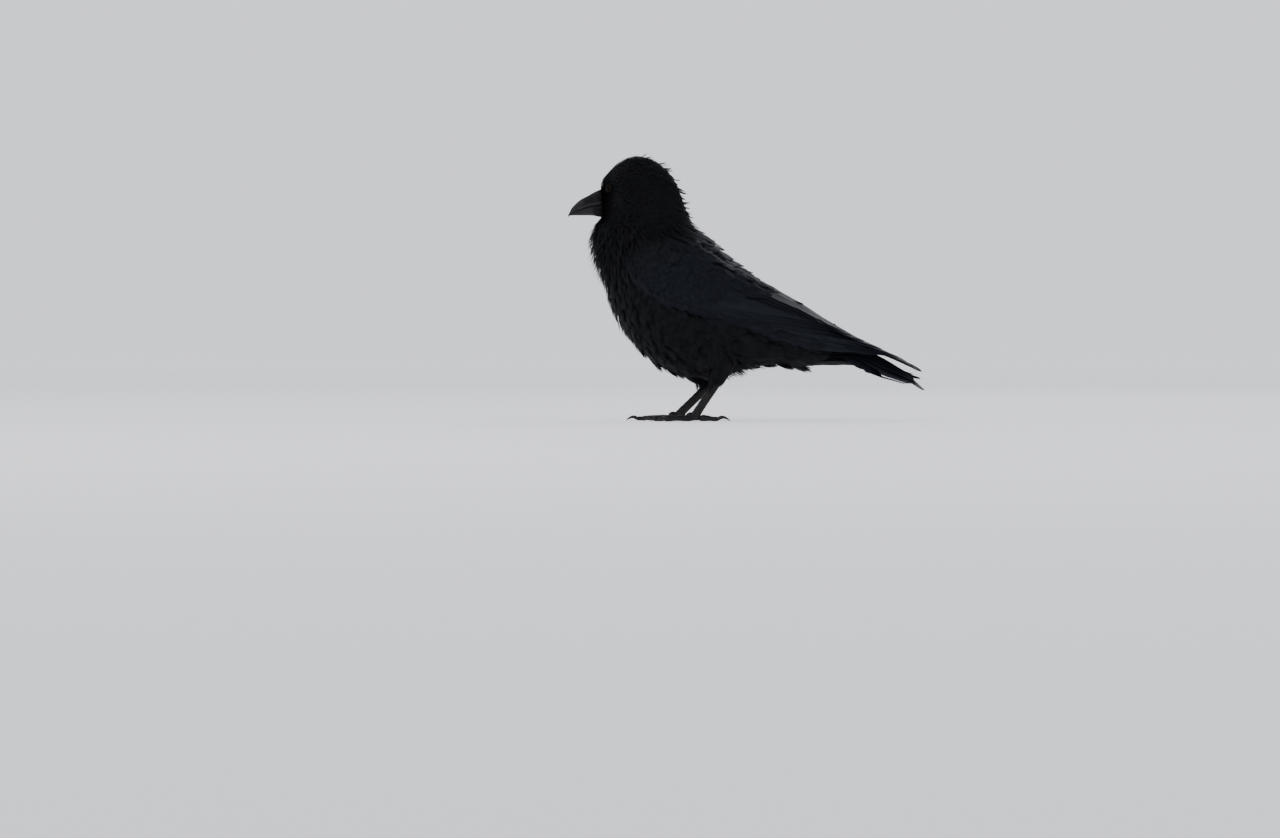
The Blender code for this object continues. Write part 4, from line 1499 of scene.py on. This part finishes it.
def bill_profile(node):
    """Top and low edge (z) and half width of a CAD bill piece, at stations from the face to the tip."""
    points, triangles = node_mesh(node)
    tree = tree_of(points, triangles)
    along = (points - BILL_BASE) @ FORWARD
    rows = []
    for station in np.linspace(along.min() + 0.2 * MM, along.max() - 0.15 * MM, 60):
        foot = BILL_BASE + FORWARD * station
        top, low = down_to(tree, *foot[:2]), up_to(tree, *foot[:2])
        if top and low:
            rows.append((station, top.z, low.z, bill_half_width(tree, foot, top.z, low.z)))
    rows = np.array(rows)
    smoothed(rows[:, 1:], 8)
    return rows


def bill_half_width(tree, foot, top, low):
    """Half the greatest width of a bill piece over one point of its middle line."""
    widest = 0.4 * MM
    for share in (0.06, 0.2, 0.35, 0.5, 0.65, 0.8, 0.94):
        spot = np.array([foot[0], foot[1], low + (top - low) * share])
        hit = tree.ray_cast(Vector(spot + HEAD_SIDE * 40 * MM), Vector(-HEAD_SIDE))[0]
        if hit:
            widest = max(widest, (np.array(hit) - spot) @ HEAD_SIDE)
    return widest


EDGE_OVERLAP = 0.5 * MM
HOOK_DROP = 1.1 * MM
CULMEN_ARCH = 1.9 * MM


def upper_ring(row, turns):
    """A section of the upper mandible: a narrow round culmen over cutting edges that hang a little, and
    a small hook at the tip."""
    station, top, low, wide = row
    across, rise = np.sin(turns), np.cos(turns)
    to_tip = (BILL_TIP - BILL_BASE) @ FORWARD - station
    hook = HOOK_DROP * float(ramp(-to_tip, -5.5 * MM, 0.0)) ** 1.5
    top = top + CULMEN_ARCH * float(ramp(to_tip, 0, 5 * MM) * (1 - ramp(to_tip, 12 * MM, 26 * MM)))
    edge = low - EDGE_OVERLAP
    y = np.sign(across) * wide * np.abs(across) ** np.where(rise > 0, 1.0, 0.4)
    over = edge + (top - edge) * np.clip(rise, 0, 1) ** 0.8
    under = edge + 2 * EDGE_OVERLAP * (1 - across**4)
    return station, y, np.where(rise > 0, over, under) - hook


def lower_ring(row, turns):
    """A section of the lower mandible, which shuts just inside the upper one."""
    station, top, low, wide = row
    across, rise = np.sin(turns), np.cos(turns)
    edge = top + 0.15 * MM
    low = low - 0.5 * MM
    y = np.sign(across) * wide * 0.95 * np.abs(across) ** np.where(rise < 0, 0.9, 0.4)
    below = edge - (edge - low) * np.clip(-rise, 0, 1) ** 0.8
    above = edge - 0.3 * MM * (1 - across**4)
    return station, y, np.where(rise < 0, below, above)


def bill_points(station, y, z):
    points = BILL_BASE + FORWARD * station + HEAD_SIDE * y[:, None]
    points[:, 2] = z
    return points


RING_OF = {"upper": upper_ring, "lower": lower_ring}
BILL_ROWS = {half: bill_profile("bill_" + half) for half in RING_OF}


def make_bill():
    horn = horn_paint("horn_black", (0.003, 0.003, 0.0034), (0.0078, 0.0075, 0.008), 0.38, 240.0)
    for half, ring_of in RING_OF.items():
        name = "mandible_" + half
        rings = [bill_points(*ring_of(row, circle(48))) for row in BILL_ROWS[half]]
        add_piece(name, new_mesh(name, *tube(rings)), horn, ["bill_" + half])


make_bill()


def strand(line, radius):
    """A thin three-sided hair along a line, drawn out to a point."""
    ahead = unit(np.gradient(line, axis=0))
    side = unit(np.cross(ahead, UP))
    over = np.cross(side, ahead)
    size = radius * (1 - np.linspace(0, 1, len(line)) ** 1.5) + 0.02 * MM
    turns = np.radians([90, 210, 330])
    around = np.cos(turns)[None, :, None] * side[:, None] + np.sin(turns)[None, :, None] * over[:, None]
    return tube(line[:, None] + around * size[:, None, None])


def on_bill(half, station, turn):
    """A point of the bill's surface, and the way out there. half is the upper or the lower mandible."""
    rows = BILL_ROWS[half]
    row = [station] + [np.interp(station, rows[:, 0], rows[:, i]) for i in (1, 2, 3)]
    spot = bill_points(*RING_OF[half](row, np.array([turn])))[0]
    heart = BILL_BASE + FORWARD * station
    heart[2] = row[2] if half == "upper" else row[1]
    return spot, unit(spot - heart)


def bristle(half, start, length, turn, spread, height, radius):
    """One stiff hair that lies forward along the bill from inside the face feathers."""
    wave = RNG.uniform(0, 6)
    line = []
    for share in np.linspace(0, 1, 8):
        angle = turn + spread * share + 0.025 * math.sin(5 * share + wave)
        spot, out = on_bill(half, start + length * share, angle)
        line.append(spot + out * height * (0.25 + (1 - share) ** 1.3))
    return strand(np.array(line), radius)


def upper_bristle():
    """One that covers the nostril and the root of the upper mandible, longer down its sides."""
    widest = 1.42
    turn = widest * RNG.uniform(-1, 1)
    side = abs(turn) / widest
    length = (12 + 9 * math.sin(math.pi * min(side, 0.62) / 1.24)) * RNG.uniform(0.7, 1.08) * MM
    start = RNG.uniform(-6.5, 0.5) * MM
    height = RNG.uniform(0.3, 1.7) * (0.35 + 0.65 * side) * MM
    return bristle("upper", start, length, turn, -0.1 * np.sign(turn) * side, height, 0.26 * MM)


def lower_bristle():
    """A short one along the lower mandible and under the chin."""
    turn = math.pi + 1.5 * RNG.uniform(-1, 1)
    length = RNG.uniform(7, 11.5) * MM
    start = RNG.uniform(-6.5, -1.5) * MM
    return bristle("lower", start, length, turn, 0.0, RNG.uniform(0.3, 1.0) * MM, 0.22 * MM)


def mouth_bristle(sign):
    """One at a corner of the mouth."""
    _, top, _, wide = BILL_ROWS["lower"][0]
    root = BILL_BASE + HEAD_SIDE * sign * (wide + 0.3 * MM) - FORWARD * RNG.uniform(0, 4) * MM
    root[2] = top - RNG.uniform(-2.5, 4.0) * MM
    way = FORWARD + HEAD_SIDE * sign * RNG.uniform(-0.05, 0.12) - UP * RNG.uniform(0.05, 0.3)
    t = np.linspace(0, 1, 8)[:, None]
    return strand(root + unit(way) * (RNG.uniform(5, 9) * MM * t) - UP * (0.6 * MM * t**2), 0.16 * MM)


def hair_patches(hairs):
    """A small patch for each hair at its root's place on the skin's unwrap."""
    roots = np.array([points[:3].mean(axis=0) for points, _ in hairs])
    patches = []
    for (points, _), root, spot in zip(hairs, roots, on_unwrap(roots)):
        away = np.linalg.norm(points - root, axis=1)
        local = np.stack([np.arange(len(points)) % 3 / 3, away / away.max()], axis=1) - 0.5
        patches.append(spot + local * Coat.PATCH)
    return np.vstack(patches)


def make_bristles():
    above, below, at_each_corner = 520, 260, 18
    hairs = [upper_bristle() for _ in range(above)]
    hairs += [lower_bristle() for _ in range(below)]
    hairs += [mouth_bristle(sign) for sign in (-1, 1) for _ in range(at_each_corner)]
    mesh = new_mesh("bristles", *join(hairs), {"OFBake": hair_patches(hairs)})
    add_piece("bristles", mesh, bristle_paint())


make_bristles()


def eye_frame(name):
    """An eye's middle, the way it looks, the level and the upright way square to that, and its radius."""
    out = eye_outward(name)
    level = unit(np.cross(UP, out))
    low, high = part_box("eye_" + name)
    return EYES[name], out, level, np.cross(out, level), (high.z - low.z) / 2


def eyeball(name, paint):
    """A ball with a raised clear front."""
    centre, out, level, up, radius = eye_frame(name)
    polar = np.linspace(0.02, math.pi - 0.02, 40)[:, None, None]
    turns = circle(48)
    around = np.cos(turns)[:, None] * level + np.sin(turns)[:, None] * up
    size = radius + 0.35 * MM * bump(polar, 0, 0.75)
    points, triangles = tube(centre + size * (np.cos(polar) * out + np.sin(polar) * around))
    from_pupil = np.arccos(np.clip(unit(points - centre) @ out, -1, 1))
    mesh = new_mesh("eyeball_" + name, points, triangles, values={"from_pupil": from_pupil})
    add_piece("eyeball_" + name, mesh, paint, ["eye_" + name])


def lids(name, paint):
    """A ring of small bare lids round the eye's opening."""
    centre, out, level, up, radius = eye_frame(name)
    opening, width = 4.6 * MM, 4.75 * MM
    lumps, around = 56, 12
    rings = []
    for turn in circle(lumps):
        flat = 1 - 0.1 * math.sin(turn) ** 2
        about = math.cos(turn) * level + math.sin(turn) * up
        depth = math.sqrt(radius**2 - (opening * flat) ** 2) + 0.1 * MM
        spot = centre + about * width * flat + out * depth
        lump = 0.32 * MM * (1 + 0.15 * math.cos(turn * 22)) * (1 + 0.3 * math.sin(turn))
        rings.append([spot + lump * (math.cos(s) * about + math.sin(s) * out) for s in circle(around)])
    points = np.reshape(rings, (-1, 3))
    grid = np.arange(len(points)).reshape(lumps, around)
    closed = bands(np.vstack([grid, grid[:1]]))
    mesh = new_mesh("lids_" + name, *outward(points, halves(closed)))
    add_piece("lids_" + name, mesh, paint)


def make_eyes():
    eye_skin, lid_skin = eye_paint(), lid_paint()
    for name in EYES:
        eyeball(name, eye_skin)
        lids(name, lid_skin)


make_eyes()


def spine(node, count):
    """Middle points and half sizes (to the side, and up or forward) along a long CAD node."""
    points, faces = node_mesh(node)
    middle, axis = long_axis(points)
    along = (points - middle) @ axis
    tree = tree_of(points, faces)
    side = unit(np.cross(UP, axis)) if abs(axis[2]) < 0.95 else ACROSS
    over = unit(np.cross(axis, side))
    rows = []
    for station in np.linspace(along.min() + 0.3 * MM, along.max() - 0.3 * MM, count):
        centre = middle + axis * station
        for _ in range(3):
            sizes = []
            for way in (side, over):
                ends = []
                for sign in (1, -1):
                    hit = tree.ray_cast(Vector(centre + way * sign * 0.03), Vector(-way * sign))[0]
                    ends.append(np.array(hit) @ way if hit else centre @ way)
                centre = centre + way * (sum(ends) / 2 - centre @ way)
                sizes.append(abs(ends[0] - ends[1]) / 2)
        rows.append((*centre, *sizes))
    return np.array(rows), side, over


FLOOR_GAP = 0.02 * MM


def limb(line, side, over, across, rise):
    """A tube round a line that stays over the floor. across and rise (rows x around) are its points'
    distances from the line."""
    rings = line[:, None] + side * across[..., None] + over * rise[..., None]
    rings[..., 2] = np.maximum(rings[..., 2], FLOOR_GAP)
    return tube(rings)


SCUTES = 11
SCUTE_ROWS = 8
SCUTE_STEP = 0.05
SCUTE_GROOVE = 0.10
THINNEST_CLAW = 0.12 * MM


def scaly_tube(line, half_side, half_over, side, over, round_off, pad=0.0):
    """A limb segment with overlapping scutes on its front or upper side and small scales behind.
    round_off is the share of its length over which each end is rounded. Also gives where painted shade
    darkens the joins between its scutes."""
    rows = SCUTES * SCUTE_ROWS + 1
    t = np.linspace(0, 1, rows)
    steps = np.linalg.norm(np.diff(line, axis=0), axis=1)
    source = np.concatenate([[0.0], np.cumsum(steps)]) / steps.sum()
    line = smoothed(np.stack([np.interp(t, source, line[:, i]) for i in range(3)], axis=1), 6)
    ends = np.ones(rows)
    for share, along in zip(round_off, (t, 1 - t)):
        ends *= np.sqrt(np.clip(1 - (1 - np.clip(along / share, 0.02, 1)) ** 2, 0, 1))
    wide = np.interp(t, source, half_side) * ends
    high = np.interp(t, source, half_over) * ends
    turns = circle(32)
    phase = (t * SCUTES) % 1
    step = (SCUTE_STEP * (1 - phase) - SCUTE_GROOVE * bump(phase, 0.0, 0.14))[:, None]
    facing = ramp(np.cos(turns), -0.25, 0.2)[None]
    behind = 1 - facing
    cells = 0.04 * np.abs(np.sin(t * SCUTES * 2.3 * math.pi))[:, None] * np.abs(np.sin(turns * 7))[None]
    pads = pad * behind * np.sin(t * 3 * math.pi)[:, None] ** 2
    swell = 1 + step * facing + (cells - 0.02) * behind + pads
    across = np.sin(turns)[None] * wide[:, None] * swell
    rise = np.cos(turns)[None] * high[:, None] * swell
    # painted shade: a mask of the joins between the front scutes, which the leg paint darkens
    groove = bump(phase, 0.0, 0.2)[:, None] * facing
    return limb(line, side, over, across, rise), np.concatenate([groove.ravel(), [0, 0]])


def from_foot_out(rows, foot):
    """The rows of a toe or claw, the one nearest the foot first."""
    near_first = np.linalg.norm(rows[0, :2] - foot[:2]) < np.linalg.norm(rows[-1, :2] - foot[:2])
    return rows if near_first else rows[::-1]


def sizes_with_ends(rows):
    """The half sizes of a spine's rows, with those of its two end rows given twice."""
    return np.pad(rows[:, 3:], ((1, 1), (0, 0)), "edge").T


SHANK_SHIFT = {"left": -0.7 * MM, "right": 0.7 * MM}


def shank_tube(name):
    """The bare shank from inside the ankle's feathers to the foot, widening upwards. Gives where painted
    shade darkens the joins between its scutes, and its foot end too."""
    rows, side, over = spine("shank_" + name, 12)
    rows = rows if rows[0, 2] > rows[-1, 2] else rows[::-1]
    over = over * (-1 if over[0] > 0 else 1)
    up = unit(rows[0, :3] - rows[-1, :3])
    line = np.vstack([rows[0, :3] + up * 2.5 * MM, rows[:, :3], rows[-1, :3] - up * 1.5 * MM])
    line[:, 0] += SHANK_SHIFT[name]
    height = np.linspace(1, 0, len(line))
    half_side, half_over = sizes_with_ends(rows)
    half_side *= (1.04 + 0.10 * ramp(height, 0.5, 0.95)) * (1 - 0.3 * ramp(height, 0.78, 1.0))
    half_over *= (1.08 + 0.20 * ramp(height, 0.12, 0.6)) * (1 - 0.35 * ramp(height, 0.78, 1.0))
    return *scaly_tube(line, half_side, half_over, side, over, (0.05, 0.05)), rows[-1, :3]


def toe_tube(node, foot):
    """One toe from inside the foot to over the root of its claw. Gives where painted shade darkens the
    joins between its scutes, and its end row too.
    """
    rows, side, over = spine(node, 14)
    over = over * np.sign(over[2])
    rows = from_foot_out(rows, foot)
    ahead = unit(rows[-1, :3] - rows[-4, :3])
    inside = np.array([foot[0], foot[1], rows[0, 2]])
    line = np.vstack([inside, rows[:, :3], rows[-1, :3] + ahead * 1.8 * MM])
    half_side, half_over = sizes_with_ends(rows) * 0.97
    return *scaly_tube(line, half_side, half_over, side, over, (0.04, 0.09), pad=0.10), rows[-1]


def claw_tube(node, foot, toe_end):
    """One curved claw, its root inside the end of its toe."""
    rows, side, over = spine(node, 16)
    rows = from_foot_out(rows, foot).copy()
    rows[0, 3:] = np.minimum(toe_end[3:] * 0.8, rows[1, 3:] * 1.05)
    rows[0, :3] = toe_end[:3] - unit(rows[0, :3] - toe_end[:3]) * 1.0 * MM
    places, fine_places = np.linspace(0, 1, len(rows)), np.linspace(0, 1, 30)
    fine = np.stack([np.interp(fine_places, places, column) for column in rows.T], axis=1)
    smoothed(fine, 4)
    half_side, half_over = np.maximum(fine[:, 3:], THINNEST_CLAW).T
    turns = circle(16)
    across, rise = np.sin(turns)[None] * half_side[:, None], np.cos(turns)[None] * half_over[:, None]
    return limb(fine[:, :3], side, over, across, rise)


def foot_pad(foot):
    """The round joint that the shank and the four toes grow from."""
    polar = np.linspace(0.05, math.pi - 0.05, 14)[:, None]
    turns = circle(32)[None]
    ball = triples(np.sin(polar) * np.cos(turns), np.sin(polar) * np.sin(turns), np.cos(polar))
    centre = np.array([foot[0], foot[1], 4.9 * MM])
    return tube(centre + ball * np.array([5.4, 5.2, 4.7]) * MM)


def make_legs():
    skin = scaled_paint()
    claw_horn = horn_paint("horn_claw", (0.006, 0.0055, 0.0055), (0.020, 0.018, 0.016), 0.34, 500.0)
    for name in SIDES:
        shank, groove, foot = shank_tube(name)
        pad = foot_pad(foot)
        meshes, groove_shades, claws = [shank, pad], [groove, np.zeros(len(pad[0]))], []
        toes = [f"{name}_{toe}" for toe in range(1, 5)]
        for toe in toes:
            made, groove, toe_end = toe_tube("toe_" + toe, foot)
            meshes.append(made)
            groove_shades.append(groove)
            claws.append(claw_tube("claw_" + toe, foot, toe_end))
        # each vertex's share of the painted shade on the joins between scutes
        mesh = new_mesh("leg_" + name, *join(meshes), values={"groove": np.concatenate(groove_shades)})
        nodes = ["shank_" + name] + ["toe_" + toe for toe in toes]
        add_piece("leg_" + name, mesh, skin, nodes)
        mesh = new_mesh("claws_" + name, *join(claws))
        add_piece("claws_" + name, mesh, claw_horn, ["claw_" + toe for toe in toes])


make_legs()


# ---------------------------------------------------------------- studio


def make_floor():
    """A pale floor that curves up into a backdrop all round."""
    glow = {"Emission_Color": (0.9, 0.92, 1.0, 1.0), "Emission_Strength": 0.52}
    paint = Paint("studio", Base_Color=(0.78, 0.77, 0.75, 1.0), Roughness=0.9, **glow)
    flat, curve, top = 11.0, 5.0, 14.0
    profile = [(0.0, 0.0), (flat, 0.0)]
    for t in np.linspace(0.1, math.pi / 2, 12):
        profile.append((flat + curve * math.sin(t), curve - curve * math.cos(t)))
    profile.append((flat + curve, top))
    radius, height = np.array(profile).T[..., None]
    turns = circle(96)
    points = triples(radius * np.cos(turns), radius * np.sin(turns), height - 0.05 * MM)
    grid = np.arange(points.size // 3).reshape(points.shape[:2])
    floor = add_object("floor", new_mesh("floor", points.reshape(-1, 3), bands(grid)[:, ::-1]))
    floor.data.materials.append(paint.material)


def make_lights():
    """Four soft lights round the bird, and a dim blue-white sky."""
    middle = Vector(middle_of(CAD_BOX))
    for name, place, size, power in (
        ("key", (-1.6, -2.2, 2.4), 1.6, 29.0),
        ("fill", (2.4, -2.4, 1.2), 2.2, 9.0),
        ("rim", (1.2, 2.4, 2.0), 1.5, 10.0),
        ("top", (0.0, 0.2, 3.0), 2.4, 9.5),
    ):
        light = bpy.data.lights.new(name, "AREA")
        light.size = size
        light.energy = power
        lamp = add_object(name, light)
        lamp.location = place
        lamp.rotation_euler = (middle - Vector(place)).to_track_quat("-Z", "Y").to_euler()
    world = bpy.data.worlds.new("studio")
    world.use_nodes = True
    sky = world.node_tree.nodes["Background"].inputs
    sky["Color"].default_value = (0.86, 0.9, 1.0, 1.0)
    sky["Strength"].default_value = 0.5
    bpy.context.scene.world = world


def make_camera():
    """Six metres off and a little over the bird's feet, looking almost level at its left side."""
    aim = Vector((-108.7 * MM, 0.0, 2 * MM))
    distance, height = 6.0, 90 * MM
    camera = bpy.data.cameras.new("camera")
    camera.lens = 160.7
    camera.clip_end = 60.0
    holder = add_object("camera", camera)
    holder.location = (aim.x, -distance, height)
    holder.rotation_euler = (aim - holder.location).to_track_quat("-Z", "Y").to_euler()
    bpy.context.scene.camera = holder


make_floor()
make_lights()
make_camera()
